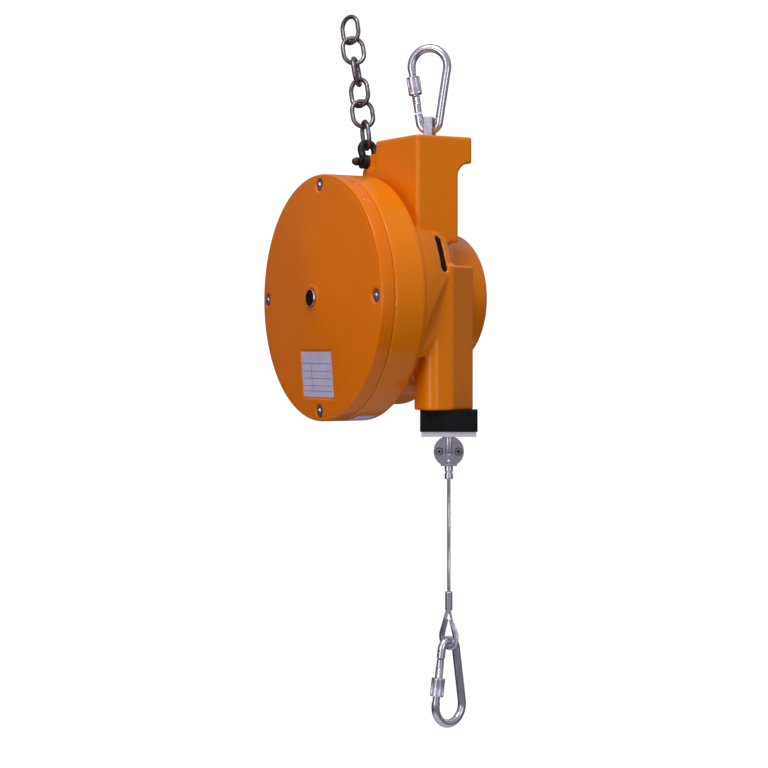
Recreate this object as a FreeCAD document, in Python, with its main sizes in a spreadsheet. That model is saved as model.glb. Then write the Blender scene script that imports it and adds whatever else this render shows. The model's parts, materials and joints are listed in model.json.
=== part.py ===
"""Spring tool balancer: a cast housing with a rope drum, hung from a carabiner.

Every sub-part is modelled in millimetres about a natural point of its own (the drum
axis, the rope line, a hook's crown) and then placed so that the part's origin is the
inside crown of the suspension hook, +Z up, the front cover facing -Y.
"""
import FreeCAD, Part
import math
import os
import re
import Sketcher
from FreeCAD import Placement, Rotation, Vector

SIZES = [
    # casting
    ("barrel_radius", 136.0, "outer radius of the front barrel"),
    ("barrel_depth", 38.0, "cover seam to the barrel's rear edge"),
    ("wall", 6.0, "wall of the casting"),
    ("chamber_radius", 118.5, "outer radius of the rope chamber behind the barrel"),
    ("chamber_end", 84.0, "seam to the rear edge of the rope chamber"),
    ("cup_start", 117.0, "seam to the front of the rear cup"),
    ("cup_neck", 78.0, "radius of the rear cup where it starts"),
    ("cup_radius", 73.5, "radius of the rear cup at its end"),
    ("cup_end", 158.0, "seam to the rear face of the cup"),
    ("fairing_start", 20.0, "seam to the front of the fairing on the rope side"),
    ("fairing_round", 100.0, "rounding between the barrel and the fairing's slope"),
    ("fairing_up", 34.0, "fairing's upper end, degrees above the level of the axis"),
    ("fairing_down", 30.0, "fairing's lower end, degrees below the level of the axis"),
    ("facet_low", 68.0, "lower end of the facet behind the fairing, below the axis"),
    ("facet_lean", 40.0, "lean of that facet out of the column's side, in degrees"),
    ("arm_left", 9.5, "arm's inner side from the axis"),
    ("arm_right", 99.5, "arm's outer side from the axis"),
    ("arm_front", 48.0, "seam to the arm's front face"),
    ("arm_back", 101.0, "seam to the arm's rear face"),
    ("head_back", 119.0, "seam to the rear face of the overhanging head"),
    ("head_bottom", 146.0, "underside of the head's overhang above the axis"),
    ("head_top", 175.0, "top of the head above the axis"),
    ("head_block", 35.0, "solid height of the head over the hollow arm"),
    ("head_fillet", 15.0, "fillet under the head's overhang"),
    ("shoulder_left", 21.0, "reach of the arm's shoulder past the axis"),
    ("shoulder_top", 145.0, "top of the shoulder above the axis"),
    ("column_bottom", 122.0, "lower end of the rope column below the axis"),
    ("column_top", 34.0, "upper end of the rope column above the axis"),
    ("column_left", 75.0, "column's inner side from the axis"),
    ("column_right", 119.0, "column's outer side from the axis"),
    ("column_front", 52.0, "seam to the column's front face"),
    ("column_back", 120.0, "seam to the column's rear face"),
    ("column_corner", 12.0, "fillet of the column's front corner"),
    ("slot_width", 9.0, "width of the inspection slot"),
    ("slot_length", 42.0, "length of the inspection slot, end to end"),
    ("slot_seat", 71.0, "seam to the middle of the inspection slot"),
    ("slot_turn", 22.5, "inspection slot's middle, degrees above the level of the axis"),
    # front cover
    ("cover_edge", 17.0, "depth of the front cover at its rim"),
    ("cover_crown", 28.0, "depth of the front cover at its centre"),
    ("cover_wall", 5.0, "wall of the front cover"),
    ("cover_round", 6.0, "rounding of the cover's front edge"),
    ("hub_ring", 13.0, "radius of the raised ring round the axle's end"),
    ("screw_circle", 124.7, "radius of the circle of cover screws"),
    ("screw_boss", 8.0, "radius of the bosses for the cover screws"),
    ("screw_shank", 4.0, "radius of the cover screws"),
    ("screw_head", 6.5, "head radius of the cover screws"),
    ("screw_head_height", 5.0, "head height of the cover screws"),
    ("screw_recess", 5.0, "depth of the screw heads' seats below the cover's rim"),
    ("plate_width", 68.0, "width of the rating plate"),
    ("plate_height", 50.0, "height of the rating plate"),
    ("plate_thickness", 0.8, "thickness of the rating plate"),
    ("plate_drop", 84.5, "centre of the rating plate below the axis"),
    ("plate_margin", 2.0, "rim of the recess round the rating plate"),
    ("fit_gap", 0.05, "radial clearance of shafts, pins and bearings"),
    ("free_gap", 0.3, "clearance between pieces that move past each other"),
    # axle, spring and drum
    ("axle_radius", 10.0, "radius of the fixed axle"),
    ("axle_end", 150.0, "seam to the rear end of the axle"),
    ("arbor_radius", 22.0, "radius of the spring arbor"),
    ("case_front", 8.0, "seam to the open front of the spring case"),
    ("case_back", 46.0, "seam to the back of the spring case"),
    ("case_radius", 110.0, "outer radius of the spring case"),
    ("case_wall", 3.0, "wall of the spring case"),
    ("spring_width", 30.0, "width of the spiral spring's strip"),
    ("spring_strip", 1.6, "thickness of the spiral spring's strip"),
    ("spring_turns", 10, "turns of the spiral spring"),
    ("drum_back", 98.0, "seam to the rear face of the rope drum"),
    ("drum_hub", 32.0, "radius of the drum's hub"),
    ("drum_web", 8.0, "thickness of the drum's web"),
    ("rim_bore", 82.0, "inner radius of the drum's rim"),
    ("rope_radius", 2.0, "radius of the wire rope"),
    ("rope_pitch", 8.0, "pitch of the rope grooves along the drum"),
    ("rope_step", 2.7, "growth of the groove radius from one turn to the next"),
    ("rope_turns", 4, "turns of rope stored on the drum"),
    ("bearing_radius", 23.5, "outer radius of the ball bearings"),
    ("bearing_width", 14.0, "width of the ball bearings"),
    ("front_bearing_seat", 52.0, "seam to the front bearing"),
    ("rear_bearing_seat", 82.0, "seam to the rear bearing"),
    # rope line
    ("rope_x", 97.0, "rope line from the axis"),
    ("rope_y", 90.0, "seam to the rope line"),
    ("passage_radius", 12.0, "radius of the rope passage in the column"),
    ("guide_height", 16.0, "height of the rope guide"),
    ("guide_bore", 3.5, "bore radius of the rope guide"),
    ("rope_turn", 58.0, "turn of the rope stop about the rope, in degrees"),
    ("buffer_side", 62.0, "side of the rubber buffer"),
    ("buffer_depth", 50.0, "depth of the rubber buffer"),
    ("buffer_height", 23.0, "height of the rubber buffer"),
    ("buffer_bore", 3.0, "bore radius of the buffer and its plate"),
    ("plate_side", 59.0, "side of the buffer's steel plate"),
    ("plate_depth", 47.0, "depth of the buffer's steel plate"),
    ("plate_gauge", 5.5, "thickness of the buffer's steel plate"),
    ("stop_radius", 16.5, "radius of the rope stop's round halves"),
    ("stop_thickness", 5.0, "thickness of one half of the rope stop"),
    ("stop_ridge", 4.6, "radius of the ridge over the rope"),
    ("stop_foot", 15.5, "flat foot of the stop below its centre"),
    ("stop_screw_spread", 10.4, "offset of the stop's two screws"),
    ("sleeve_radius", 4.6, "radius of the ferrule under the stop"),
    ("sleeve_height", 14.8, "height of the ferrule under the stop"),
    ("tail_length", 122.0, "bare rope between the stop's ferrule and the end ferrule"),
    ("ferrule_radius", 4.0, "radius of the end ferrule"),
    ("ferrule_height", 20.6, "height of the end ferrule"),
    ("eye_radius", 12.5, "radius of the rope eye at its rope's centre"),
    ("eye_height", 28.5, "end ferrule to the centre of the rope eye"),
    ("thimble_gauge", 1.5, "thickness of the thimble"),
    ("thimble_width", 5.8, "width of the thimble"),
    ("lower_turn", -78.0, "turn of the load hook's plane about the rope, in degrees"),
    # hooks
    ("stud_x", 67.3, "stud's axis from the drum axis"),
    ("stud_y", 83.5, "seam to the stud's axis"),
    ("stud_radius", 6.0, "radius of the swivel stud's shank"),
    ("stud_eye", 13.0, "outer radius of the stud's eye"),
    ("stud_eye_bore", 6.5, "bore radius of the stud's eye"),
    ("stud_eye_width", 11.0, "width of the stud's eye"),
    ("eye_rise", 9.5, "centre of the stud's eye above the head"),
    ("stud_nut", 8.0, "height of the stud's nut"),
    ("washer_radius", 11.0, "radius of the stud's thrust washer"),
    ("washer_gauge", 3.0, "thickness of the stud's thrust washer"),
    ("upper_turn", 48.0, "turn of the suspension hook's plane, in degrees"),
    ("hook_wire", 9.0, "diameter of the hooks' wire"),
    ("hook_small", 10.75, "radius of the hooks' small bow at the wire's centre"),
    ("hook_big", 19.9, "radius of the hooks' big bow at the wire's centre"),
    ("hook_reach", 60.1, "distance between the centres of a hook's two bows"),
    ("gate_radius", 4.0, "radius of the hooks' gates"),
    ("gate_hinge", 5.5, "rivet's distance up the gate side"),
    ("gate_nose", 53.0, "gate's free end up the gate side"),
    ("gate_tongue", 3.0, "thickness of the gate's tongue"),
    ("rivet_radius", 1.6, "radius of the gates' rivets"),
    ("nut_radius", 7.4, "radius of the screw sleeves"),
    ("nut_length", 20.0, "length of the screw sleeves"),
    ("nut_seat", 31.0, "lower end of a screw sleeve up the gate side"),
    # shackle and safety chain
    ("lug_x", 13.1, "safety lug's hole past the axis"),
    ("lug_y", 54.0, "seam to the middle of the safety lug"),
    ("lug_z", 153.7, "safety lug's hole above the axis"),
    ("lug_radius", 8.0, "radius of the safety lug"),
    ("lug_gauge", 6.6, "thickness of the safety lug"),
    ("pin_radius", 3.0, "radius of the shackle's pin"),
    ("shackle_wire", 6.4, "diameter of the shackle's wire"),
    ("shackle_gap", 7.4, "gap between the shackle's ears"),
    ("shackle_ear", 7.2, "radius of the shackle's ears"),
    ("shackle_bow", 8.7, "radius of the shackle's bow at the wire's centre"),
    ("shackle_reach", 14.0, "shackle's pin to the centre of its bow"),
    ("chain_lean", 16.0, "lean of the safety chain from the vertical, in degrees"),
    ("link_wire", 5.0, "diameter of the chain's wire"),
    ("link_bow", 11.75, "radius of a chain link's ends at the wire's centre"),
    ("link_straight", 7.5, "straight side of a chain link"),
    ("link_slack", 0.3, "gap between a link and the next at rest"),
]
# turn of each chain link's plane about the chain, from the lug upwards, in degrees
LINK_TURNS = (-14.0, 76.0, 22.0, -44.0, 72.0, 18.0)

doc = FreeCAD.newDocument("tool_balancer")
sheet = doc.addObject("Spreadsheet::Sheet", "Sheet")
for row, (alias, value, note) in enumerate(SIZES, 1):
    sheet.set(f"A{row}", note)
    sheet.set(f"B{row}", str(value))
    sheet.setAlias(f"B{row}", alias)
doc.recompute()
ALIASES = re.compile(r"\b(" + "|".join(alias for alias, value, note in SIZES) + r")\b")


def link(text):
    """An expression that reads its sizes from the sheet."""
    return ALIASES.sub(r"Sheet.\1", str(text))


def size(text):
    """The present value of an expression."""
    return float(sheet.evalExpression(link(text)))


# ---- places, all from the drum axis at the cover's seam --------------------------
def bow_reach(half_width):
    """Height of a small bow's inner side over its crown's centre, at half a width."""
    return f"(hook_small - sqrt((hook_small - hook_wire / 2) ^ 2 - ({half_width}) ^ 2))"


EYE_Z0 = "(head_top + eye_rise)"
CROWN_Z = f"({EYE_Z0} + stud_eye_bore - free_gap - {bow_reach('stud_eye_width / 2')})"
ORIGIN_Z = f"({CROWN_Z} + hook_small + hook_reach + hook_big - hook_wire / 2)"
BUFFER_Z = "(-column_bottom - free_gap)"
STOP_Z = f"({BUFFER_Z} - buffer_height - plate_gauge - stop_radius)"
SLEEVE_Z = f"({STOP_Z} - stop_foot)"
TAIL_Z = f"({SLEEVE_Z} - sleeve_height)"
FERRULE_Z = f"({TAIL_Z} - tail_length)"
EYE_Z = f"({FERRULE_Z} - ferrule_height - eye_height)"
THIMBLE_BORE = "(eye_radius - rope_radius - thimble_gauge)"
COVER_SLOPE = "((cover_crown - cover_edge) / barrel_radius)"
DRUM_AXIS = ("-stud_x", "-stud_y", f"-{ORIGIN_Z}")
ROPE_LINE = ("rope_x - stud_x", "rope_y - stud_y", f"-{ORIGIN_Z}")
nodes = []


def place(thing, base, turn=None):
    """Put a sub-part at a place, turned about the vertical, both from the sheet."""
    turn_now = size(turn) if turn else 0.0
    thing.Placement = Placement(Vector(*[size(text) for text in base]),
                                Rotation(Vector(0, 0, 1), turn_now))
    for axis, text in zip("xyz", base):
        thing.setExpression(f"Placement.Base.{axis}", link(text))
    if turn:
        thing.setExpression("Placement.Rotation.Angle", link(turn))


def new_body(label, base=DRUM_AXIS, turn=None):
    """An empty PartDesign body that becomes one node."""
    body = doc.addObject("PartDesign::Body", label)
    body.Label = label
    place(body, base, turn)
    nodes.append(body)
    return body


def new_solid(label, shape, base=DRUM_AXIS, turn=None):
    """A node whose shape is made with Part's own functions; its moves become geometry."""
    thing = doc.addObject("Part::Feature", label)
    thing.Label = label
    moves = shape.Placement.toMatrix()
    shape.Placement = Placement()
    thing.Shape = shape.transformed(moves, copy=True)
    place(thing, base, turn)
    nodes.append(thing)
    return thing


def new_sketch(body, name, role, lift=None, tilt=None):
    """A sketch on one of the body's own planes, lifted along and tilted about it."""
    sketch = body.newObject("Sketcher::SketchObject", name)
    planes = [item for item in body.Origin.OriginFeatures if item.Role == role]
    sketch.AttachmentSupport = (planes[0], [""])
    sketch.MapMode = "FlatFace"
    if tilt:
        axis, text = tilt
        sketch.AttachmentOffset = Placement(Vector(), Rotation(axis, size(text)))
        sketch.setExpression("AttachmentOffset.Rotation.Angle", link(text))
    if lift:
        sketch.setExpression("AttachmentOffset.Base.z", link(lift))
    return sketch


def pin_point(sketch, item, corner, place_xy):
    """Fix one point of a sketch at two expressions."""
    for kind, text in zip(("DistanceX", "DistanceY"), place_xy):
        index = sketch.addConstraint(Sketcher.Constraint(kind, -1, 1, item, corner, size(text)))
        sketch.setExpression(f"Constraints[{index}]", link(text))


def outline(body, name, role, corners, **where):
    """A closed outline of straight sides; a corner's third value is its fillet radius."""
    sketch = new_sketch(body, name, role, **where)
    places = [Vector(size(corner[0]), size(corner[1]), 0) for corner in corners]
    rounds = [size(corner[2]) if len(corner) > 2 else 0.0 for corner in corners]
    count = len(corners)
    starts, ends, arcs = [], [], []
    for now in range(count):
        before = (places[now - 1] - places[now]).normalize()
        after = (places[(now + 1) % count] - places[now]).normalize()
        reach = 0.0
        if rounds[now]:
            reach = rounds[now] / math.tan(before.getAngle(after) / 2)
        ends.append(places[now] + before * reach)
        starts.append(places[now] + after * reach)
        arcs.append((before, after))
    for now in range(count):
        sketch.addGeometry(Part.LineSegment(starts[now], ends[(now + 1) % count]), False)
    for now in range(count):
        last = (now - 1) % count
        if not rounds[now]:
            sketch.addConstraint(Sketcher.Constraint("Coincident", last, 2, now, 1))
            pin_point(sketch, now, 1, corners[now])
            continue
        before, after = arcs[now]
        half = before.getAngle(after) / 2
        middle = places[now] + (before + after).normalize() * (rounds[now] / math.sin(half))
        first = ends[now] - middle
        second = starts[now] - middle
        left_turn = first.cross(second).z > 0
        if not left_turn:
            first, second = second, first
        angles = [math.atan2(side.y, side.x) for side in (first, second)]
        circle = Part.Circle(middle, Vector(0, 0, 1), rounds[now])
        arc = sketch.addGeometry(Part.ArcOfCircle(circle, *angles), False)
        sketch.addConstraint(Sketcher.Constraint("Tangent", last, 2, arc, 1 if left_turn else 2))
        sketch.addConstraint(Sketcher.Constraint("Tangent", now, 1, arc, 2 if left_turn else 1))
        index = sketch.addConstraint(Sketcher.Constraint("Radius", arc, rounds[now]))
        sketch.setExpression(f"Constraints[{index}]", link(corners[now][2]))
        vertex = sketch.addGeometry(Part.Point(places[now]), True)
        sketch.addConstraint(Sketcher.Constraint("PointOnObject", vertex, 1, last))
        sketch.addConstraint(Sketcher.Constraint("PointOnObject", vertex, 1, now))
        pin_point(sketch, vertex, 1, corners[now])
    return sketch


def circles(body, name, role, centres, radius, **where):
    """A sketch of equal circles."""
    sketch = new_sketch(body, name, role, **where)
    for centre in centres:
        middle = Vector(size(centre[0]), size(centre[1]), 0)
        circle = Part.Circle(middle, Vector(0, 0, 1), size(radius))
        item = sketch.addGeometry(circle, False)
        index = sketch.addConstraint(Sketcher.Constraint("Radius", item, size(radius)))
        sketch.setExpression(f"Constraints[{index}]", link(radius))
        pin_point(sketch, item, 3, centre)
    return sketch


def feature(body, kind, name, sketch, **settings):
    """A PartDesign feature; text settings are expressions of the sheet."""
    made = body.newObject(f"PartDesign::{kind}", name)
    made.Profile = sketch
    for key, value in settings.items():
        if isinstance(value, str):
            made.setExpression(key, link(value))
        else:
            setattr(made, key, value)
    sketch.Visibility = False
    return made


def turned(body, kind, name, sketch, angle=None):
    """A Revolution or Groove about the sketch's vertical axis."""
    made = body.newObject(f"PartDesign::{kind}", name)
    made.Profile = sketch
    made.ReferenceAxis = (sketch, ["V_Axis"])
    if angle:
        made.setExpression("Angle", link(angle))
    else:
        made.Angle = 360.0
    return made


# ---- plain shapes made in code ---------------------------------------------------
UP = Vector(0, 0, 1)


def cylinder(radius, height, foot=Vector(), along=UP):
    return Part.makeCylinder(radius, height, foot, along)


def block(low, high):
    return Part.makeBox(high.x - low.x, high.y - low.y, high.z - low.z, low)


def bar(path, radius):
    """A round bar along a chain of tangent lines and arcs."""
    pieces = []
    for edge in path:
        start = edge.valueAt(edge.FirstParameter)
        heading = edge.tangentAt(edge.FirstParameter)
        disc = Part.Face(Part.Wire(Part.makeCircle(radius, start, heading)))
        if isinstance(edge.Curve, Part.Circle):
            sweep = math.degrees(edge.LastParameter - edge.FirstParameter)
            pieces.append(disc.revolve(edge.Curve.Center, edge.Curve.Axis, sweep))
        else:
            pieces.append(disc.extrude(edge.valueAt(edge.LastParameter) - start))
    return pieces[0].fuse(pieces[1:]).removeSplitter()


def around(centre, radius, angle):
    """The point of a circle in the XZ plane at an angle from +X towards +Z."""
    turn = math.radians(angle)
    return centre + Vector(math.cos(turn), 0, math.sin(turn)) * radius


def arc_about(centre, radius, start, sweep):
    """An arc in the XZ plane, its angles in degrees from +X towards +Z."""
    points = [around(centre, radius, start + sweep * share) for share in (0, 0.5, 1)]
    return Part.Arc(*points).toShape()


def cap_screw(head_radius, head_height, shank_radius, length):
    """A socket-head screw, its head's seat at the origin, its shank down -Z."""
    screw = cylinder(head_radius, head_height)
    screw = screw.fuse(cylinder(shank_radius, length, Vector(), -UP))
    corners = [Vector(math.cos(turn), math.sin(turn), 0) * head_radius * 0.5
               for turn in [math.radians(60 * number) for number in range(7)]]
    socket = Part.Face(Part.makePolygon(corners)).extrude(UP * head_height)
    socket.translate(UP * head_height * 0.45)
    return screw.cut(socket)


# ---- housing: one casting --------------------------------------------------------
FOUR_SCREWS = (("screw_circle", "0"), ("0", "screw_circle"), ("-screw_circle", "0"), ("0", "-screw_circle"))
INNER_CHAMBER = "(chamber_radius - wall)"


def make_housing():
    body = new_body("housing")
    shell = outline(body, "shell_profile", "XY_Plane", [
        ("0", "0"), ("barrel_radius", "0"), ("barrel_radius", "barrel_depth", "2.5"),
        ("chamber_radius", "barrel_depth"), ("chamber_radius", "chamber_end", "3"),
        ("cup_neck", "cup_start"), ("cup_radius", "cup_end", "8"), ("0", "cup_end")])
    turned(body, "Revolution", "shell", shell)
    fairing = outline(body, "fairing_profile", "XY_Plane", [
        ("chamber_radius - wall", "fairing_start"), ("barrel_radius - 0.05", "fairing_start"),
        ("barrel_radius - 0.05", "barrel_depth - 2", "fairing_round"),
        ("chamber_radius", "chamber_end - 2"), ("chamber_radius - wall", "chamber_end - 2")],
        tilt=(Vector(0, -1, 0), "fairing_up"))
    turned(body, "Revolution", "fairing", fairing, angle="fairing_up + fairing_down")
    arm = outline(body, "arm_profile", "YZ_Plane", [
        ("arm_front", "chamber_radius / 2"), ("arm_back", "chamber_radius / 2"),
        ("arm_back", "head_bottom", "head_fillet"), ("head_back", "head_bottom"),
        ("head_back", "head_top"), ("arm_front", "head_top")], lift="arm_left")
    feature(body, "Pad", "arm", arm, Length="arm_right - arm_left")
    shoulder = outline(body, "shoulder_profile", "XZ_Plane", [
        ("-shoulder_left", "chamber_radius / 2"), ("arm_left + wall", "chamber_radius / 2"),
        ("arm_left + wall", "shoulder_top"), ("-shoulder_left", "shoulder_top", "4")],
        lift="-arm_front")
    feature(body, "Pad", "shoulder", shoulder, Length="arm_back - arm_front", Reversed=True)
    lug = outline(body, "lug_profile", "XZ_Plane", [
        ("-lug_x - lug_radius", "shoulder_top - wall"), ("arm_left + wall", "shoulder_top - wall"),
        ("arm_left + wall", "lug_z + lug_radius"),
        ("-lug_x - lug_radius", "lug_z + lug_radius", "lug_radius - 0.1")],
        lift="-lug_y + lug_gauge / 2")
    feature(body, "Pad", "lug", lug, Length="lug_gauge", Reversed=True)
    column = outline(body, "column_profile", "XY_Plane", [
        ("column_left", "column_front + column_corner"), ("column_left + column_corner", "column_front"),
        ("column_right", "column_front", "column_corner"), ("column_right", "chamber_end - 2"),
        ("arm_right", "column_back", "2"), ("column_left", "column_back")],
        lift="-column_bottom")
    feature(body, "Pad", "column", column, Length="column_bottom + column_top")
    facet = outline(body, "facet_profile", "YZ_Plane", [
        ("barrel_depth - 2", "-facet_low"), ("column_back", "-facet_low"),
        ("column_back", "column_top"), ("chamber_end - 2", "column_top")], lift="column_right")
    feature(body, "Pocket", "facet", facet, Length="barrel_radius", TaperAngle="facet_lean", Reversed=True)
    cavity = outline(body, "cavity_profile", "XY_Plane", [
        ("0", "-1"), ("barrel_radius - wall", "-1"), ("barrel_radius - wall", "barrel_depth - wall"),
        (INNER_CHAMBER, "barrel_depth - wall"), (INNER_CHAMBER, "chamber_end - wall / 2"),
        ("cup_neck - wall", "cup_start - wall / 2"), ("cup_radius - wall", "cup_end - wall"),
        ("0", "cup_end - wall")])
    turned(body, "Groove", "cavity", cavity)
    hollow = outline(body, "arm_hollow_profile", "XY_Plane", [
        ("arm_left + wall", "arm_front + wall"), ("arm_right - wall", "arm_front + wall"),
        ("arm_right - wall", "arm_back - wall"), ("arm_left + wall", "arm_back - wall")],
        lift="head_top - head_block")
    feature(body, "Pocket", "arm_hollow", hollow, Length="head_top - head_block - chamber_radius / 2")
    passage = circles(body, "passage_profile", "XY_Plane", [("rope_x", "rope_y")], "passage_radius",
                      lift="-column_bottom")
    feature(body, "Pocket", "passage", passage, Length="column_bottom", Reversed=True)
    rear_boss = circles(body, "rear_boss_profile", "XZ_Plane", [("0", "0")], "axle_radius + 1.5 * wall",
                        lift="-axle_end + 2 * wall")
    feature(body, "Pad", "rear_boss", rear_boss, Length="cup_end - axle_end + wall", Reversed=True)
    rear_bore = circles(body, "rear_bore_profile", "XZ_Plane", [("0", "0")], "axle_radius + fit_gap",
                        lift="-axle_end")
    feature(body, "Pocket", "rear_bore", rear_bore, Length="3 * wall", Reversed=True)
    bolt_bore = circles(body, "bolt_bore_profile", "XZ_Plane", [("0", "0")], "screw_shank + fit_gap",
                        lift="-cup_end")
    feature(body, "Pocket", "bolt_bore", bolt_bore, Length="3 * wall", Reversed=True)
    bosses = circles(body, "screw_boss_profile", "XZ_Plane", FOUR_SCREWS, "screw_boss")
    feature(body, "Pad", "screw_bosses", bosses, Length="barrel_depth - wall", Reversed=True)
    threads = circles(body, "screw_bore_profile", "XZ_Plane", FOUR_SCREWS, "screw_shank + fit_gap")
    feature(body, "Pocket", "screw_bores", threads, Length="barrel_depth - 2 * wall")
    stud_bore = circles(body, "stud_bore_profile", "XY_Plane", [("stud_x", "stud_y")],
                        "stud_radius + fit_gap", lift="head_top")
    feature(body, "Pocket", "stud_bore", stud_bore, Length="head_block")
    lug_bore = circles(body, "lug_bore_profile", "XZ_Plane", [("-lug_x", "lug_z")],
                       "pin_radius + fit_gap", lift="-lug_y + lug_gauge")
    feature(body, "Pocket", "lug_bore", lug_bore, Length="2 * lug_gauge")
    slot = outline(body, "slot_profile", "YZ_Plane", [
        ("slot_seat - slot_width / 2", "-slot_length / 2", "slot_width / 2 - 0.1"),
        ("slot_seat + slot_width / 2", "-slot_length / 2", "slot_width / 2 - 0.1"),
        ("slot_seat + slot_width / 2", "slot_length / 2", "slot_width / 2 - 0.1"),
        ("slot_seat - slot_width / 2", "slot_length / 2", "slot_width / 2 - 0.1")],
        tilt=(Vector(-1, 0, 0), "slot_turn"))
    feature(body, "Pocket", "slot", slot, Length="barrel_radius", Reversed=True)
    return body


# ---- front cover -----------------------------------------------------------------
def cover_face(radius):
    """Depth of the cover's outer face at a radius."""
    return f"-(cover_crown - {COVER_SLOPE} * ({radius}))"


PLATE_TILT = (Vector(1, 0, 0), f"atan({COVER_SLOPE}) / 1 deg")


def plate_outline(body, name, margin, lift):
    """The rating plate's rectangle on the slope of the cover."""
    half_width = f"(plate_width / 2 + {margin})"
    half_height = f"(plate_height / 2 + {margin})"
    return outline(body, name, "XZ_Plane", [
        (f"-{half_width}", f"-plate_drop - {half_height}", "1"),
        (half_width, f"-plate_drop - {half_height}", "1"),
        (half_width, f"-plate_drop + {half_height}", "1"),
        (f"-{half_width}", f"-plate_drop + {half_height}", "1")], lift=lift, tilt=PLATE_TILT)


def make_front_cover():
    body = new_body("front_cover")
    profile = outline(body, "cover_profile", "XY_Plane", [
        ("axle_radius + fit_gap", f"{cover_face('hub_ring')} - 1.2"),
        ("hub_ring - 1", f"{cover_face('hub_ring')} - 1.2"),
        ("hub_ring + 1", cover_face("hub_ring + 1")),
        ("barrel_radius", "-cover_edge", "cover_round"), ("barrel_radius", "0"),
        ("barrel_radius - wall", "0"), ("barrel_radius - wall", "-cover_edge + cover_wall + 3"),
        ("hub_ring + wall", f"{cover_face('hub_ring + wall')} + cover_wall"),
        ("hub_ring + wall", "case_front - 2"), ("axle_radius + fit_gap", "case_front - 2")])
    turned(body, "Revolution", "cover", profile)
    bosses = circles(body, "boss_profile", "XZ_Plane", FOUR_SCREWS, "screw_boss")
    feature(body, "Pad", "bosses", bosses, Length="cover_edge - cover_wall")
    seats = circles(body, "seat_profile", "XZ_Plane", FOUR_SCREWS, "screw_head + 0.7",
                    lift="cover_edge - screw_recess")
    feature(body, "Pocket", "seats", seats, Length="cover_crown", Reversed=True)
    bores = circles(body, "bore_profile", "XZ_Plane", FOUR_SCREWS, "screw_shank + fit_gap")
    feature(body, "Pocket", "bores", bores, Length="cover_crown", Reversed=True)
    recess = plate_outline(body, "recess_profile", "plate_margin", "cover_crown - 1.6")
    feature(body, "Pocket", "recess", recess, Length="cover_crown", Reversed=True)
    return body


def make_rating_plate():
    body = new_body("rating_plate")
    feature(body, "Pad", "plate", plate_outline(body, "plate_profile", "0", "cover_crown - 1.6"),
            Length="plate_thickness")
    return body


def make_cover_screws():
    screw = cap_screw(size("screw_head"), size("screw_head_height"), size("screw_shank"),
                      size("cover_edge - screw_recess + 2 * wall"))
    screw.rotate(Vector(), Vector(1, 0, 0), 90)
    screws = []
    for x_text, z_text in FOUR_SCREWS:
        copy = screw.copy()
        copy.translate(Vector(size(x_text), -size("cover_edge - screw_recess"), size(z_text)))
        screws.append(copy)
    new_solid("cover_screws", Part.makeCompound(screws))


# ---- axle, spring, drum, bearings -------------------------------------------------
def ring_body(label, inner, outer, front, back):
    """A plain ring about the drum axis, from one depth to another."""
    body = new_body(label)
    profile = outline(body, f"{label}_profile", "XY_Plane", [
        (inner, front), (outer, front), (outer, back), (inner, back)])
    turned(body, "Revolution", f"{label}_ring", profile)
    return body


def make_axle():
    body = new_body("axle")
    front = f"{cover_face('0')} - 1.6"
    profile = outline(body, "axle_profile", "XY_Plane", [
        ("0", front), ("axle_radius - 1", front), ("axle_radius", f"{front} + 1"),
        ("axle_radius", "axle_end"), ("0", "axle_end")])
    turned(body, "Revolution", "shaft", profile)
    tapped = circles(body, "tapped_profile", "XZ_Plane", [("0", "0")], "screw_shank + fit_gap",
                     lift="-axle_end")
    feature(body, "Pocket", "tapped", tapped, Length="4 * wall", Reversed=True)
    return body


def make_axle_bolt():
    bolt = cap_screw(size("screw_head"), size("screw_head_height"), size("screw_shank"),
                     size("cup_end - axle_end + 3 * wall"))
    bolt.rotate(Vector(), Vector(1, 0, 0), -90)
    bolt.translate(Vector(0, size("cup_end"), 0))
    new_solid("axle_bolt", bolt)


GROOVE_FRONT = "(rope_y - rope_pitch * (rope_turns - 1))"


def groove_radius(turn):
    """Radius of the rope's centre on a turn, counted from the rope line forwards."""
    return f"(rope_x + rope_step * {turn})"


def make_rope_drum():
    body = new_body("rope_drum")
    last_radius = groove_radius("(rope_turns - 1)")
    flange = f"{last_radius} + 2.5 * rope_radius"
    web_back = "(drum_back - 2 * drum_web)"
    profile = outline(body, "drum_profile", "XY_Plane", [
        ("bearing_radius", "front_bearing_seat - 3"), ("drum_hub", "front_bearing_seat - 3"),
        ("drum_hub", f"{web_back} - drum_web"), ("rim_bore", f"{web_back} - drum_web"),
        ("rim_bore", "case_back"), (flange, "case_back"),
        (flange, f"{GROOVE_FRONT} - rope_pitch / 2 - 1"),
        (f"{last_radius} + rope_step / 2", f"{GROOVE_FRONT} - rope_pitch / 2"),
        ("rope_x - rope_step / 2", "rope_y + rope_pitch / 2"), ("rim_bore + 2", "drum_back - 2"),
        ("rim_bore - 2", "drum_back - 2"), ("rim_bore - 2", web_back), ("drum_hub", web_back),
        ("drum_hub", "drum_back + 2"), ("bearing_radius", "drum_back + 2")])
    turned(body, "Revolution", "drum", profile)
    for turn in range(int(size("rope_turns"))):
        centre = (groove_radius(turn), f"rope_y - rope_pitch * {turn}")
        groove = circles(body, f"groove_profile_{turn}", "XY_Plane", [centre], "rope_radius + free_gap")
        turned(body, "Groove", f"groove_{turn}", groove)
    return body


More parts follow.
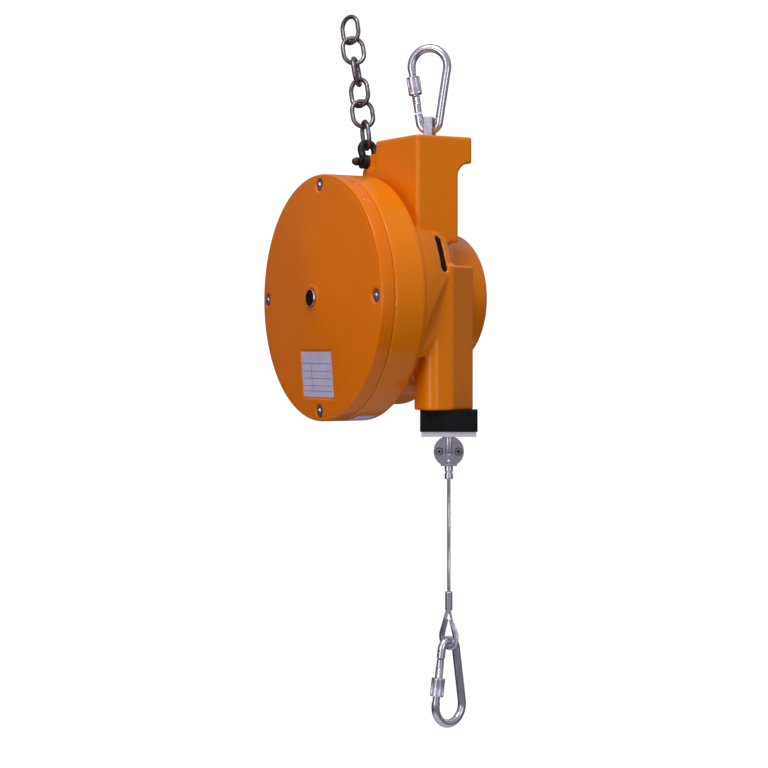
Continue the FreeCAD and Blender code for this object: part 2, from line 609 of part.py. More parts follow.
def make_wound_rope():
    """The turns left on the drum; the last one ends where the rope leaves for the outlet."""
    turns = []
    for turn in range(int(size("rope_turns"))):
        radius = size(groove_radius(turn))
        leave = math.degrees(size("free_gap") / radius) if turn == 0 else 0.0
        sweep = 335.0 if turn == 0 else 359.0
        coil = bar([arc_about(Vector(), radius, leave, sweep / 2),
                    arc_about(Vector(), radius, leave + sweep / 2, sweep / 2)], size("rope_radius"))
        coil.translate(Vector(0, size(f"rope_y - rope_pitch * {turn}"), 0))
        turns.append(coil)
    new_solid("wound_rope", Part.makeCompound(turns))


def make_spring_case():
    body = new_body("spring_case")
    profile = outline(body, "case_profile", "XY_Plane", [
        ("drum_hub", "case_back - case_wall"), ("case_radius - case_wall", "case_back - case_wall"),
        ("case_radius - case_wall", "case_front"), ("case_radius", "case_front"),
        ("case_radius", "case_back"), ("drum_hub", "case_back")])
    turned(body, "Revolution", "case", profile)
    return body


def make_spiral_spring():
    """The strip winds out from the arbor to the case in half turns about two centres."""
    turns = int(size("spring_turns"))
    inner = size("arbor_radius + free_gap")
    outer = size("case_radius - case_wall - spring_strip - free_gap")
    step = (outer - inner) / (2 * turns + 0.5)
    strip = size("spring_strip")
    edges = []
    for offset in (0.0, strip):
        side = []
        for half in range(2 * turns):
            radius = inner + offset + step * (half + 0.5)
            shift = step if half % 2 else 0.0
            centre = Vector(shift, 0, 0)
            side.append(arc_about(centre, radius, 180.0 * half, 180.0))
        edges.append(side)
    joins = []
    for end, parameter in ((0, "FirstParameter"), (-1, "LastParameter")):
        ends = [side[end].valueAt(getattr(side[end], parameter)) for side in edges]
        joins.append(Part.makeLine(*ends))
    strip_face = Part.Face(Part.Wire(Part.__sortEdges__(edges[0] + edges[1] + joins)))
    middle = size("(case_front + case_back - case_wall) / 2")
    spring = strip_face.extrude(Vector(0, size("spring_width"), 0))
    spring.translate(Vector(0, middle - size("spring_width / 2"), 0))
    new_solid("spiral_spring", spring)


# ---- rope line: guide, run, buffer, stop, tail, eye --------------------------------
def rope_solid(label, radius, top, bottom, turn="rope_turn"):
    thing = doc.addObject("Part::Cylinder", label)
    thing.Label = label
    thing.setExpression("Radius", link(radius))
    thing.setExpression("Height", link(f"{top} - {bottom}"))
    place(thing, (ROPE_LINE[0], ROPE_LINE[1], f"{ROPE_LINE[2]} + {bottom}"), turn)
    nodes.append(thing)
    return thing


def make_rope_guide():
    body = new_body("rope_guide", ROPE_LINE)
    mouth = "(guide_bore + 3)"
    profile = outline(body, "guide_profile", "XZ_Plane", [
        ("passage_radius - fit_gap", "-column_bottom"), (mouth, "-column_bottom"),
        ("guide_bore", "-column_bottom + 3", "2"), ("guide_bore", "-column_bottom + guide_height - 3", "2"),
        (mouth, "-column_bottom + guide_height"), ("passage_radius - fit_gap", "-column_bottom + guide_height")])
    turned(body, "Revolution", "guide", profile)
    return body


def slab(label, side, depth, top, gauge, corner):
    """A square-cornered slab on the rope, bored for it."""
    body = new_body(label, ROPE_LINE, "rope_turn")
    corners = [(f"{x}{side} / 2", f"{y}{depth} / 2", corner) for x, y in (("-", "-"), ("", "-"), ("", ""), ("-", ""))]
    plan = outline(body, f"{label}_plan", "XY_Plane", corners, lift=top)
    feature(body, "Pad", f"{label}_pad", plan, Length=gauge, Reversed=True)
    bore = circles(body, f"{label}_bore_plan", "XY_Plane", [("0", "0")], "buffer_bore", lift=top)
    feature(body, "Pocket", f"{label}_bore", bore, Length=gauge)
    return body


def make_rope_stop():
    """Two round halves clamped on the rope; the front one carries a ridge over it."""
    radius = size("stop_radius")
    gauge = size("stop_thickness")
    split = size("fit_gap")
    foot = size("stop_foot")
    rope = cylinder(size("rope_radius"), 4 * radius, Vector(0, 0, -2 * radius))
    top_room = block(Vector(-radius, -2 * radius, radius), Vector(radius, 2 * radius, 3 * radius))
    foot_room = block(Vector(-2 * radius, -2 * radius, -3 * radius), Vector(2 * radius, 2 * radius, -foot))
    spread = size("stop_screw_spread")
    bores = [cylinder(2.0, 6 * gauge, Vector(side * spread, 3 * gauge, 0), Vector(0, -1, 0))
             for side in (-1, 1)]
    for label, side in (("stop_front_half", -1), ("stop_back_half", 1)):
        facing = Vector(0, side, 0)
        half = cylinder(radius, gauge, facing * split, facing)
        ridge = size("stop_ridge")
        spine = cylinder(ridge, radius + ridge / 2, Vector(0, 0, -ridge / 2))
        crown = Part.makeSphere(ridge, Vector(0, 0, -ridge / 2))
        bump = Part.makeSphere(ridge * 0.7, Vector(0, side * (gauge - 1.6), -foot + ridge))
        low = Vector(-radius, min(side * split, side * 4 * gauge), -2 * radius)
        high = Vector(radius, max(side * split, side * 4 * gauge), 2 * radius)
        rib = spine.fuse(crown).fuse(bump).common(block(low, high))
        half = half.fuse(rib).cut(rope).cut(top_room).cut(foot_room)
        half = half.cut(bores[0]).cut(bores[1]).removeSplitter()
        base = (ROPE_LINE[0], ROPE_LINE[1], f"{ROPE_LINE[2]} + {STOP_Z}")
        new_solid(label, half, base, "rope_turn")
    screws = []
    for side in (-1, 1):
        screw = cap_screw(3.4, 2.6, 1.95, 2 * gauge)
        screw.rotate(Vector(), Vector(1, 0, 0), 90)
        screw.translate(Vector(side * spread, -split - gauge, 0))
        screws.append(screw)
    new_solid("stop_screws", Part.makeCompound(screws), base, "rope_turn")


def make_stop_ferrule():
    body = new_body("stop_ferrule", (ROPE_LINE[0], ROPE_LINE[1], f"{ROPE_LINE[2]} + {SLEEVE_Z}"))
    neck = "(sleeve_radius - 1)"
    profile = outline(body, "ferrule_profile", "XZ_Plane", [
        ("rope_radius", "0"), ("sleeve_radius", "0"), ("sleeve_radius", "-sleeve_height / 2 + 1.2", "0.8"),
        (neck, "-sleeve_height / 2 + 0.6"), (neck, "-sleeve_height / 2 - 0.6"),
        ("sleeve_radius", "-sleeve_height / 2 - 1.2", "0.8"), ("sleeve_radius", "-sleeve_height", "1"),
        ("rope_radius", "-sleeve_height")])
    turned(body, "Revolution", "ferrule", profile)
    return body


def make_end_ferrule():
    body = new_body("end_ferrule", (ROPE_LINE[0], ROPE_LINE[1], f"{ROPE_LINE[2]} + {FERRULE_Z}"), "lower_turn + 90")
    profile = outline(body, "ferrule_profile", "XZ_Plane", [
        ("0", "0"), ("ferrule_radius", "0", "1"), ("ferrule_radius", "-ferrule_height", "1"),
        ("0", "-ferrule_height")])
    turned(body, "Revolution", "ferrule", profile)
    return body


def tangent_point(point, centre, radius, side):
    """Where a line from a point touches a circle of the XZ plane, on one side."""
    reach = point - centre
    distance = math.hypot(reach.x, reach.z)
    turn = math.atan2(reach.z, reach.x) + side * math.acos(radius / distance)
    return centre + Vector(math.cos(turn), 0, math.sin(turn)) * radius


def drop_path(half_gap, centre, radius):
    """A drop: two lines from a narrow gap at the origin to an arc about a centre."""
    left = Vector(-half_gap, 0, 0)
    right = Vector(half_gap, 0, 0)
    above = 1 if centre.z > 0 else -1
    left_touch = tangent_point(left, centre, radius, -above)
    right_touch = tangent_point(right, centre, radius, above)
    far = centre + Vector(0, 0, above * radius)
    return [Part.makeLine(left, left_touch), Part.Arc(left_touch, far, right_touch).toShape(),
            Part.makeLine(right_touch, right)]


def drop_region(half_gap, centre, radius):
    """The flat region inside a drop path."""
    edges = drop_path(half_gap, centre, radius)
    edges.append(Part.makeLine(Vector(half_gap, 0, 0), Vector(-half_gap, 0, 0)))
    return Part.Face(Part.Wire(edges))


def make_rope_eye():
    base = (ROPE_LINE[0], ROPE_LINE[1], f"{ROPE_LINE[2]} + {FERRULE_Z} - ferrule_height")
    turn = "lower_turn + 90"
    rope = size("rope_radius")
    centre = Vector(0, 0, -size("eye_height"))
    radius = size("eye_radius")
    gauge = size("thimble_gauge")
    width = size("thimble_width")
    above = block(Vector(-radius, -width, 0), Vector(radius, width, radius))
    new_solid("rope_eye", bar(drop_path(rope, centre, radius), rope).cut(above), base, turn)
    bore = size(THIMBLE_BORE)
    clear = size("fit_gap")

    def layer(outer, depth, start):
        face = drop_region(rope * 0.15, centre, outer)
        solid = face.extrude(Vector(0, depth, 0))
        solid.translate(Vector(0, start, 0))
        return solid
    web = layer(bore + gauge - clear, width, -width / 2)
    lip_gauge = (width - 2 * rope) / 2 - clear
    lips = [layer(bore + gauge + rope * 0.7, lip_gauge, start) for start in (-width / 2, width / 2 - lip_gauge)]
    hole = drop_region(rope * 0.05, centre, bore).extrude(Vector(0, 2 * width, 0))
    hole.translate(Vector(0, -width, 0))
    trim = block(Vector(-radius, -width, -5 * rope), Vector(radius, width, radius))
    channel = bar(drop_path(rope, centre, radius), rope + clear)
    thimble = web.fuse(lips).cut(hole).cut(trim).cut(channel).removeSplitter()
    new_solid("thimble", thimble, base, turn)


# ---- hooks ---------------------------------------------------------------------------
def hook_lean():
    return math.degrees(math.asin(size("(hook_big - hook_small) / hook_reach")))


def up_gate(shape):
    """Carry a shape from the Z axis to the gate side, Z counted from the small bow."""
    lean = hook_lean()
    foot = around(Vector(0, 0, size("hook_small")), size("hook_small"), 180 + lean)
    shape.rotate(Vector(), Vector(0, 1, 0), -lean)
    shape.translate(foot)
    return shape


def hook_shapes():
    """Hook body, gate, rivet and screw sleeve, from the small bow's crown upwards."""
    lean = hook_lean()
    small = size("hook_small")
    big = size("hook_big")
    wire = size("hook_wire / 2")
    gate = size("gate_radius")
    hinge = size("gate_hinge")
    nose = size("gate_nose")
    gap = size("free_gap")
    low = Vector(0, 0, small)
    high = Vector(0, 0, small + size("hook_reach"))
    side = math.cos(math.radians(lean)) * size("hook_reach")
    stub = nose + gap + gate
    cheek_end = hinge + gate
    foot = around(low, small, 180 + lean)
    up_left = (around(high, big, 180 + lean) - foot).normalize()
    path = [Part.makeLine(foot + up_left * cheek_end, foot),
            arc_about(low, small, 180 + lean, 180 - 2 * lean),
            Part.makeLine(around(low, small, -lean), around(high, big, -lean)),
            arc_about(high, big, -lean, 180 + 2 * lean),
            Part.makeLine(foot + up_left * side, foot + up_left * stub)]
    body = bar(path, wire)
    body = body.fuse(up_gate(cylinder(gate, gate, Vector(0, 0, nose + gap))))
    tongue = size("gate_tongue / 2")
    slot = block(Vector(-2 * wire, -tongue - 0.1, hinge - gate - 0.2), Vector(2 * wire, tongue + 0.1, 2 * hinge + wire))
    rivet_hole = cylinder(size("rivet_radius"), 4 * wire, Vector(0, -2 * wire, hinge), Vector(0, 1, 0))
    body = body.cut(up_gate(slot)).cut(up_gate(rivet_hole)).removeSplitter()
    rivet = cylinder(size("rivet_radius"), 2 * wire - 0.4, Vector(0, -wire + 0.2, hinge), Vector(0, 1, 0))
    eye = gate - 0.4
    leaf = cylinder(eye, 2 * tongue, Vector(0, -tongue, hinge), Vector(0, 1, 0))
    leaf = leaf.fuse(block(Vector(-eye, -tongue, hinge), Vector(eye, tongue, cheek_end + gate)))
    shaft = cylinder(gate, nose - cheek_end - 2, Vector(0, 0, cheek_end + 2))
    bore = cylinder(size("rivet_radius + fit_gap"), 4 * wire, Vector(0, -2 * wire, hinge), Vector(0, 1, 0))
    leaf = leaf.fuse(shaft).cut(bore).removeSplitter()
    outer = size("nut_radius")
    length = size("nut_length")
    seat = size("nut_seat")
    sleeve = Part.makeCone(outer - 1, outer, 1).fuse(cylinder(outer, length - 2, Vector(0, 0, 1)))
    sleeve = sleeve.fuse(Part.makeCone(outer, outer - 1, 1, Vector(0, 0, length - 1)))
    sleeve = sleeve.cut(cylinder(gate + 2 * size("fit_gap"), length)).removeSplitter()
    sleeve.translate(Vector(0, 0, seat))
    return {"": body, "_gate": up_gate(leaf), "_rivet": up_gate(rivet), "_sleeve": up_gate(sleeve)}


LOWER_CROWN_Z = f"({EYE_Z} - {THIMBLE_BORE} + {bow_reach('thimble_width / 2')} + free_gap)"


def make_hooks():
    stud = ("0", "0", f"{CROWN_Z} - {ORIGIN_Z}")
    load = (ROPE_LINE[0], ROPE_LINE[1], f"{LOWER_CROWN_Z} - {ORIGIN_Z}")
    for suffix, shape in hook_shapes().items():
        hung = shape.copy()
        hung.rotate(Vector(), Vector(1, 0, 0), 180)
        new_solid(f"suspension_hook{suffix}", shape, stud, "upper_turn")
        new_solid(f"load_hook{suffix}", hung, load, "lower_turn - 180")


def make_stud():
    base = ("0", "0", f"-{ORIGIN_Z}")
    centre = size(EYE_Z0)
    width = size("stud_eye_width")
    head = size("head_top")
    under = head - size("head_block + free_gap")
    across = Vector(1, 0, 0)
    eye = cylinder(size("stud_eye"), width, Vector(-width / 2, 0, centre), across)
    waste = block(Vector(-2 * width, -2 * width, centre - 3 * width), Vector(2 * width, 2 * width, head + size("free_gap")))
    eye = eye.cut(waste)
    foot = under - size("washer_gauge + stud_nut") - 2
    shank = cylinder(size("stud_radius"), head + 1 - foot, Vector(0, 0, foot))
    eye_bore = cylinder(size("stud_eye_bore"), 2 * width, Vector(-width, 0, centre), across)
    stud = eye.fuse(shank).cut(eye_bore).removeSplitter()
    rims = [number for number, edge in enumerate(stud.Edges)
            if isinstance(edge.Curve, Part.Circle) and abs(edge.Curve.Radius - size("stud_eye_bore")) < 0.01]
    stud = stud.makeFillet(0.8, [stud.Edges[number] for number in rims])
    new_solid("swivel_stud", stud, base, "upper_turn")
    bore = size("stud_radius + fit_gap / 2")
    washer = cylinder(size("washer_radius"), size("washer_gauge"), Vector(0, 0, under - size("washer_gauge")))
    washer = washer.cut(cylinder(bore, head))
    new_solid("stud_washer", washer, base, "upper_turn")
    corners = [Vector(math.cos(turn), math.sin(turn), 0) * size("washer_radius - 1")
               for turn in [math.radians(60 * number) for number in range(7)]]
    nut = Part.Face(Part.makePolygon(corners)).extrude(UP * size("stud_nut"))
    nut.translate(UP * (under - size("washer_gauge + stud_nut")))
    new_solid("stud_nut", nut.cut(cylinder(bore, head)), base, "upper_turn")


# ---- shackle and safety chain -----------------------------------------------------------
LUG = ("-lug_x - stud_x", "lug_y - stud_y", f"lug_z - {ORIGIN_Z}")
EAR = "(shackle_gap / 2 + shackle_wire / 2)"
LINK_FOOT = "(shackle_reach + shackle_bow - shackle_wire / 2 - link_wire / 2 - link_slack)"
LINK_HEIGHT = "(2 * link_bow + link_straight)"


def leaned(shape):
    """Lean a shape of the safety chain from the vertical, about the shackle's pin."""
    shape.rotate(Vector(), Vector(0, 1, 0), -size("chain_lean"))
    return shape


def make_shackle():
    ear = size(EAR)
    wire = size("shackle_wire / 2")
    centre = Vector(0, 0, size("shackle_reach"))
    bow = bar(drop_path(ear, centre, size("shackle_bow")), wire)
    radius = size("shackle_ear")
    pin = size("pin_radius")
    for side in (-1, 1):
        eye = cylinder(radius, 2 * wire, Vector(side * ear - wire, 0, 0), Vector(1, 0, 0))
        bow = bow.fuse(eye)
    gap = block(Vector(-ear + wire, -radius, -radius), Vector(ear - wire, radius, radius))
    hole = cylinder(pin + size("fit_gap"), 4 * radius, Vector(-2 * radius, 0, 0), Vector(1, 0, 0))
    reach = ear + wire
    collar_radius = pin + 1.5
    seat = cylinder(collar_radius + size("free_gap"), 2 * wire, Vector(-reach, 0, 0), Vector(-1, 0, 0))
    bow = bow.cut(gap).cut(hole).cut(seat).removeSplitter()
    bow.rotate(Vector(), UP, 90)
    new_solid("shackle", leaned(bow), LUG)
    shaft = cylinder(pin, 2 * reach + 1.5, Vector(0, reach + 1.5, 0), Vector(0, -1, 0))
    collar = cylinder(collar_radius, 2.0, Vector(0, -reach, 0), Vector(0, -1, 0))
    ring = cylinder(2 * pin - 0.5, pin, Vector(-pin / 2, -reach - 2 * pin - 0.5, 0), Vector(1, 0, 0))
    ring = ring.cut(cylinder(pin - 0.5, pin, Vector(-pin / 2, -reach - 2 * pin - 0.5, 0), Vector(1, 0, 0)))
    new_solid("shackle_pin", leaned(shaft.fuse(collar).fuse(ring).removeSplitter()), LUG)


def link_foot(number):
    """Centre of the wire at the lower end of a link, up the chain from the pin."""
    return f"({LINK_FOOT} + {number} * ({LINK_HEIGHT} - link_wire - link_slack))"


def make_chain():
    bow = size("link_bow")
    straight = size("link_straight")
    wire = size("link_wire / 2")
    low = Vector(0, 0, bow)
    high = Vector(0, 0, bow + straight)
    for number, turn in enumerate(LINK_TURNS):
        path = [Part.makeLine(around(low, bow, 0), around(high, bow, 0)), arc_about(high, bow, 0, 180),
                Part.makeLine(around(high, bow, 180), around(low, bow, 180)), arc_about(low, bow, 180, 180)]
        shape = bar(path, wire)
        shape.rotate(Vector(), UP, turn)
        shape.translate(UP * size(link_foot(number)))
        new_solid(f"chain_link_{number + 1}", leaned(shape), LUG)


# ---- assembly -------------------------------------------------------------------------------
make_housing()
make_front_cover()
make_rating_plate()
make_cover_screws()
make_axle()
make_axle_bolt()
ring_body("spring_arbor", "axle_radius + fit_gap", "arbor_radius", "case_front - 2", "case_back - case_wall")
make_rope_drum()
make_wound_rope()
make_spring_case()
make_spiral_spring()
for bearing in ("front_bearing", "rear_bearing"):
    ring_body(bearing, "axle_radius + fit_gap", "bearing_radius - fit_gap",
              f"{bearing}_seat", f"{bearing}_seat + bearing_width")
make_rope_guide()
rope_solid("rope_run", "rope_radius", "-free_gap", BUFFER_Z)
slab("rubber_buffer", "buffer_side", "buffer_depth", BUFFER_Z, "buffer_height", "2")
slab("buffer_plate", "plate_side", "plate_depth", f"({BUFFER_Z} - buffer_height)", "plate_gauge", "1")
make_rope_stop()
make_stop_ferrule()
rope_solid("clamped_rope", "rope_radius - fit_gap", BUFFER_Z, TAIL_Z)
rope_solid("rope_tail", "rope_radius", TAIL_Z, FERRULE_Z)
make_end_ferrule()
make_rope_eye()
make_stud()
make_hooks()
make_shackle()
make_chain()
doc.recompute()

faults = [thing.Name for thing in doc.Objects if {"Invalid", "Error"} & set(thing.State)]
faults += [node.Label for node in nodes if node.Shape.isNull() or not node.Shape.isValid()]
if faults:
    raise RuntimeError(f"these did not build: {faults}")
os.makedirs("parts", exist_ok=True)
for node in nodes:
    node.Shape.exportStep(f"parts/{node.Label}.step")
    print(node.Label, round(node.Shape.Volume), len(node.Shape.Solids))
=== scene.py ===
"""Tool balancer: the finish of every surface, and the rope's strands, the knurled sleeves, the
stop's details and the ruled label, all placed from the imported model."""
import bmesh
import bpy
import json
import math
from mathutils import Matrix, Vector


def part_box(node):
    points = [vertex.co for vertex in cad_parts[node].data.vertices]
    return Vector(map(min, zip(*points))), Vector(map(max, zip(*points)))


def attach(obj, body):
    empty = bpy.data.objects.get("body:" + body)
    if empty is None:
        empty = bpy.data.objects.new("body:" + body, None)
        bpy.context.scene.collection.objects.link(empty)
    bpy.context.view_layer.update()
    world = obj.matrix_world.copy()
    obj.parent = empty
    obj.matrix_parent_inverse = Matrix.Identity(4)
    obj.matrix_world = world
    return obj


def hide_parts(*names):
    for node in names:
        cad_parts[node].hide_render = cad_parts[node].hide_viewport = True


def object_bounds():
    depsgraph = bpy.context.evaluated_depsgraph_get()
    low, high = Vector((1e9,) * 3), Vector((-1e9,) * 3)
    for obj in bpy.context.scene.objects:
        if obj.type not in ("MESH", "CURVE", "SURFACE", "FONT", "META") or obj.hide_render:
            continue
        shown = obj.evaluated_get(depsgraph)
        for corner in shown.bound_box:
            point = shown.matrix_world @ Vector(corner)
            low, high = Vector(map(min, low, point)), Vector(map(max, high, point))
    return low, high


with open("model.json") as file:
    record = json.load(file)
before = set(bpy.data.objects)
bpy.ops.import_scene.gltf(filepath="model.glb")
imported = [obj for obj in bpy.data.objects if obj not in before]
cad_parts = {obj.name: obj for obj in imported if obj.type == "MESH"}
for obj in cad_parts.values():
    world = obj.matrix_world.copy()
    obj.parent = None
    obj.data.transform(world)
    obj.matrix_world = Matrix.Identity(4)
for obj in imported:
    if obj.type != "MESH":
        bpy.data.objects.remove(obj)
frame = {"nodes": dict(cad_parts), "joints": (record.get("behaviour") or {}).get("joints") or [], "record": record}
cad_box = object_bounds()

NODES = frame["nodes"]
JOINTS = {joint["name"]: joint for joint in frame["joints"]}
X_AXIS = Vector((1, 0, 0))
Y_AXIS = Vector((0, 1, 0))
UP = Vector((0, 0, 1))
MM = 0.001
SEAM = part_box("housing")[0].y
SMALLEST = 0.01 * MM


# ---- places and directions -------------------------------------------------------------
def drum_point(depth):
    """A point on the drum's axis, a depth behind the seam of the front cover."""
    x, _, z = JOINTS["drum_spin"]["pos_m"]
    return Vector((x, SEAM + depth, z))


def turns(steps):
    """Evenly spaced angles of one full turn."""
    return [2 * math.pi * number / steps for number in range(steps)]


def spoke(side, over, turn):
    """The unit vector at an angle from side towards over."""
    return side * math.cos(turn) + over * math.sin(turn)


def frame_along(direction):
    """Two unit vectors across a direction."""
    side = direction.orthogonal().normalized()
    return side, direction.cross(side).normalized()


def frames_on(path):
    """Each point of a path with two unit vectors across it, carried along without twist."""
    side = None
    for index, point in enumerate(path):
        before = path[max(index - 1, 0)]
        after = path[min(index + 1, len(path) - 1)]
        along = (after - before).normalized()
        if side is None:
            side = along.orthogonal().normalized()
        side = (side - along * side.dot(along)).normalized()
        yield point, side, along.cross(side)


# ---- camera ----------------------------------------------------------------------------
# level, its azimuth from the front cover's side; the rest in metres, the lens in millimetres and
# the shift in frame widths
CAMERA_AZIMUTH = math.radians(59.8)
CAMERA_DISTANCE = 2.228
CAMERA_ASIDE = 0.0562
CAMERA_DROP = 0.0536
CAMERA_LENS = 94.5
CAMERA_SHIFT = -0.0488


def make_camera():
    """A level camera at the photograph's viewing angle."""
    back = Vector((math.sin(CAMERA_AZIMUTH), -math.cos(CAMERA_AZIMUTH), 0))
    aside = Vector((math.cos(CAMERA_AZIMUTH), math.sin(CAMERA_AZIMUTH), 0))
    data = bpy.data.cameras.new("camera")
    data.lens = CAMERA_LENS
    data.sensor_width = 36
    data.shift_y = CAMERA_SHIFT
    data.clip_start = 0.05
    data.clip_end = 200
    camera = bpy.data.objects.new("camera", data)
    camera.location = drum_point(0) + back * CAMERA_DISTANCE + aside * CAMERA_ASIDE - UP * CAMERA_DROP
    camera.rotation_euler = (math.radians(90), 0, CAMERA_AZIMUTH)
    bpy.context.scene.collection.objects.link(camera)
    bpy.context.scene.camera = camera


# ---- light and floor -------------------------------------------------------------------
# name, azimuth and elevation in degrees, distance and size in metres, power in watts
LIGHTS = (("key", 46, 56, 2.2, 0.9, 29), ("side", 96, 2, 2.4, 0.8, 4.5),
          ("front", 24, 4, 1.6, 0.9, 5.6), ("rear", 205, 35, 2.6, 1.4, 2.5))
LIT_DEPTH = 0.05


def area_light(name, azimuth, elevation, distance, size, power):
    """A soft square light that faces the middle of the housing."""
    turn, lift = math.radians(azimuth), math.radians(elevation)
    away = Vector((math.sin(turn) * math.cos(lift), -math.cos(turn) * math.cos(lift), math.sin(lift)))
    data = bpy.data.lights.new(name, "AREA")
    data.size = size
    data.energy = power
    light = bpy.data.objects.new(name, data)
    light.location = drum_point(LIT_DEPTH) + away * distance
    light.rotation_euler = away.to_track_quat("Z", "Y").to_euler()
    bpy.context.scene.collection.objects.link(light)


# the studio round the object: towards where it is brightest, its low and high stops, its strength,
# and the strength of the white that the camera sees
WORLD_LEAN = (0.22, 0.0, 0.88)
WORLD_STOPS = ((0.35, (0.10, 0.10, 0.11, 1)), (0.80, (0.80, 0.80, 0.84, 1)))
WORLD_STRENGTH = 0.5
WHITE_STRENGTH = 1.05


def make_world():
    """White behind the object; what lights it is brighter above than below."""
    world = bpy.data.worlds.new("studio")
    world.use_nodes = True
    tree = world.node_tree
    tree.nodes.clear()
    place = tree.nodes.new("ShaderNodeTexCoord")
    lean = tree.nodes.new("ShaderNodeVectorMath")
    lean.operation = "DOT_PRODUCT"
    lean.inputs[1].default_value = WORLD_LEAN
    spread = tree.nodes.new("ShaderNodeMapRange")
    spread.inputs["From Min"].default_value = -1
    shade = tree.nodes.new("ShaderNodeValToRGB")
    for element, (position, colour) in zip(shade.color_ramp.elements, WORLD_STOPS):
        element.position = position
        element.color = colour
    studio = tree.nodes.new("ShaderNodeBackground")
    studio.inputs["Strength"].default_value = WORLD_STRENGTH
    plain = tree.nodes.new("ShaderNodeBackground")
    plain.inputs["Color"].default_value = (1, 1, 1, 1)
    plain.inputs["Strength"].default_value = WHITE_STRENGTH
    path = tree.nodes.new("ShaderNodeLightPath")
    mix = tree.nodes.new("ShaderNodeMixShader")
    out = tree.nodes.new("ShaderNodeOutputWorld")
    tree.links.new(place.outputs["Generated"], lean.inputs[0])
    tree.links.new(lean.outputs["Value"], spread.inputs["Value"])
    tree.links.new(spread.outputs["Result"], shade.inputs["Fac"])
    tree.links.new(shade.outputs["Color"], studio.inputs["Color"])
    tree.links.new(path.outputs["Is Camera Ray"], mix.inputs["Fac"])
    tree.links.new(studio.outputs["Background"], mix.inputs[1])
    tree.links.new(plain.outputs["Background"], mix.inputs[2])
    tree.links.new(mix.outputs["Shader"], out.inputs["Surface"])
    bpy.context.scene.world = world
    bpy.context.scene.view_settings.view_transform = "Standard"


FLOOR_GAP = 0.60
FLOOR_RADIUS = 1.1
FLOOR_SIDES = 60


def make_floor():
    """A pale round floor well below the hanging object."""
    mesh = bpy.data.meshes.new("floor")
    rim = [Vector((math.cos(turn), math.sin(turn), 0)) * FLOOR_RADIUS for turn in turns(FLOOR_SIDES)]
    mesh.from_pydata(rim, [], [list(range(FLOOR_SIDES))])
    floor = bpy.data.objects.new("floor", mesh)
    floor.location = (0, 0, cad_box[0].z - FLOOR_GAP)
    bpy.context.scene.collection.objects.link(floor)
    material, tree, shader = new_material("floor_white")
    shader.inputs["Base Color"].default_value = (0.72, 0.72, 0.74, 1)
    shader.inputs["Roughness"].default_value = 0.9
    mesh.materials.append(material)


# ---- node helpers ----------------------------------------------------------------------
def new_material(name):
    """A node material, its node tree and its shader."""
    material = bpy.data.materials.new(name)
    material.use_nodes = True
    return material, material.node_tree, material.node_tree.nodes["Principled BSDF"]


def noise(tree, scale, detail=4.0, stretch=(1, 1, 1)):
    """Noise fixed to the piece, its scale in waves per metre."""
    place = tree.nodes.new("ShaderNodeTexCoord")
    mapping = tree.nodes.new("ShaderNodeMapping")
    mapping.inputs["Scale"].default_value = stretch
    texture = tree.nodes.new("ShaderNodeTexNoise")
    texture.inputs["Scale"].default_value = scale
    texture.inputs["Detail"].default_value = detail
    tree.links.new(place.outputs["Object"], mapping.inputs["Vector"])
    tree.links.new(mapping.outputs["Vector"], texture.inputs["Vector"])
    return texture.outputs["Fac"]


def ramp(tree, source, low, high, start=0.35, end=0.65):
    """A colour or grey value that follows a source between two stops."""
    node = tree.nodes.new("ShaderNodeValToRGB")
    for element, position, value in zip(node.color_ramp.elements, (start, end), (low, high)):
        element.position = position
        element.color = (*value, 1) if isinstance(value, tuple) else (value, value, value, 1)
    tree.links.new(source, node.inputs["Fac"])
    return node.outputs["Color"]


def bump(tree, shader, *layers):
    """Chain of bumps on a shader; each layer is (height, distance in metres, strength)."""
    normal = None
    for height, distance, strength in layers:
        node = tree.nodes.new("ShaderNodeBump")
        node.inputs["Strength"].default_value = strength
        node.inputs["Distance"].default_value = distance
        tree.links.new(height, node.inputs["Height"])
        if normal:
            tree.links.new(normal, node.inputs["Normal"])
        normal = node.outputs["Normal"]
    tree.links.new(normal, shader.inputs["Normal"])


# ---- materials -------------------------------------------------------------------------
def paint(name, low, high):
    """Stove enamel on a casting: glossy, with orange peel and a faintly uneven ground."""
    material, tree, shader = new_material(name)
    cloud = noise(tree, 11, 3)
    peel = noise(tree, 380, 0)
    ground = noise(tree, 45, 3)
    tree.links.new(ramp(tree, cloud, low, high), shader.inputs["Base Color"])
    tree.links.new(ramp(tree, ground, 0.26, 0.36), shader.inputs["Roughness"])
    shader.inputs["Specular IOR Level"].default_value = 0.08
    shader.inputs["Coat Weight"].default_value = 0.42
    shader.inputs["Coat Roughness"].default_value = 0.07
    bump(tree, shader, (peel, 0.00002, 0.05))
    return material


def metal(name, low, high, roughness, grain=(1, 1, 1), depth=0.12):
    """Bare or plated metal with a clouded tint and a fine grain."""
    material, tree, shader = new_material(name)
    cloud = noise(tree, 90, 5)
    fine = noise(tree, 1800, 3, grain)
    tree.links.new(ramp(tree, cloud, low, high), shader.inputs["Base Color"])
    tree.links.new(ramp(tree, fine, roughness - 0.07, roughness + 0.09, 0.3, 0.7),
                   shader.inputs["Roughness"])
    shader.inputs["Metallic"].default_value = 1.0
    bump(tree, shader, (fine, 0.00002, depth))
    return material


def sheet_print(name):
    """Printed foil: pale lavender with a soft sheen."""
    material, tree, shader = new_material(name)
    cloud = noise(tree, 60, 3)
    tree.links.new(ramp(tree, cloud, (0.70, 0.63, 0.90), (0.78, 0.71, 0.96)), shader.inputs["Base Color"])
    tree.links.new(ramp(tree, cloud, 0.34, 0.44), shader.inputs["Roughness"])
    shader.inputs["Metallic"].default_value = 0.25
    return material


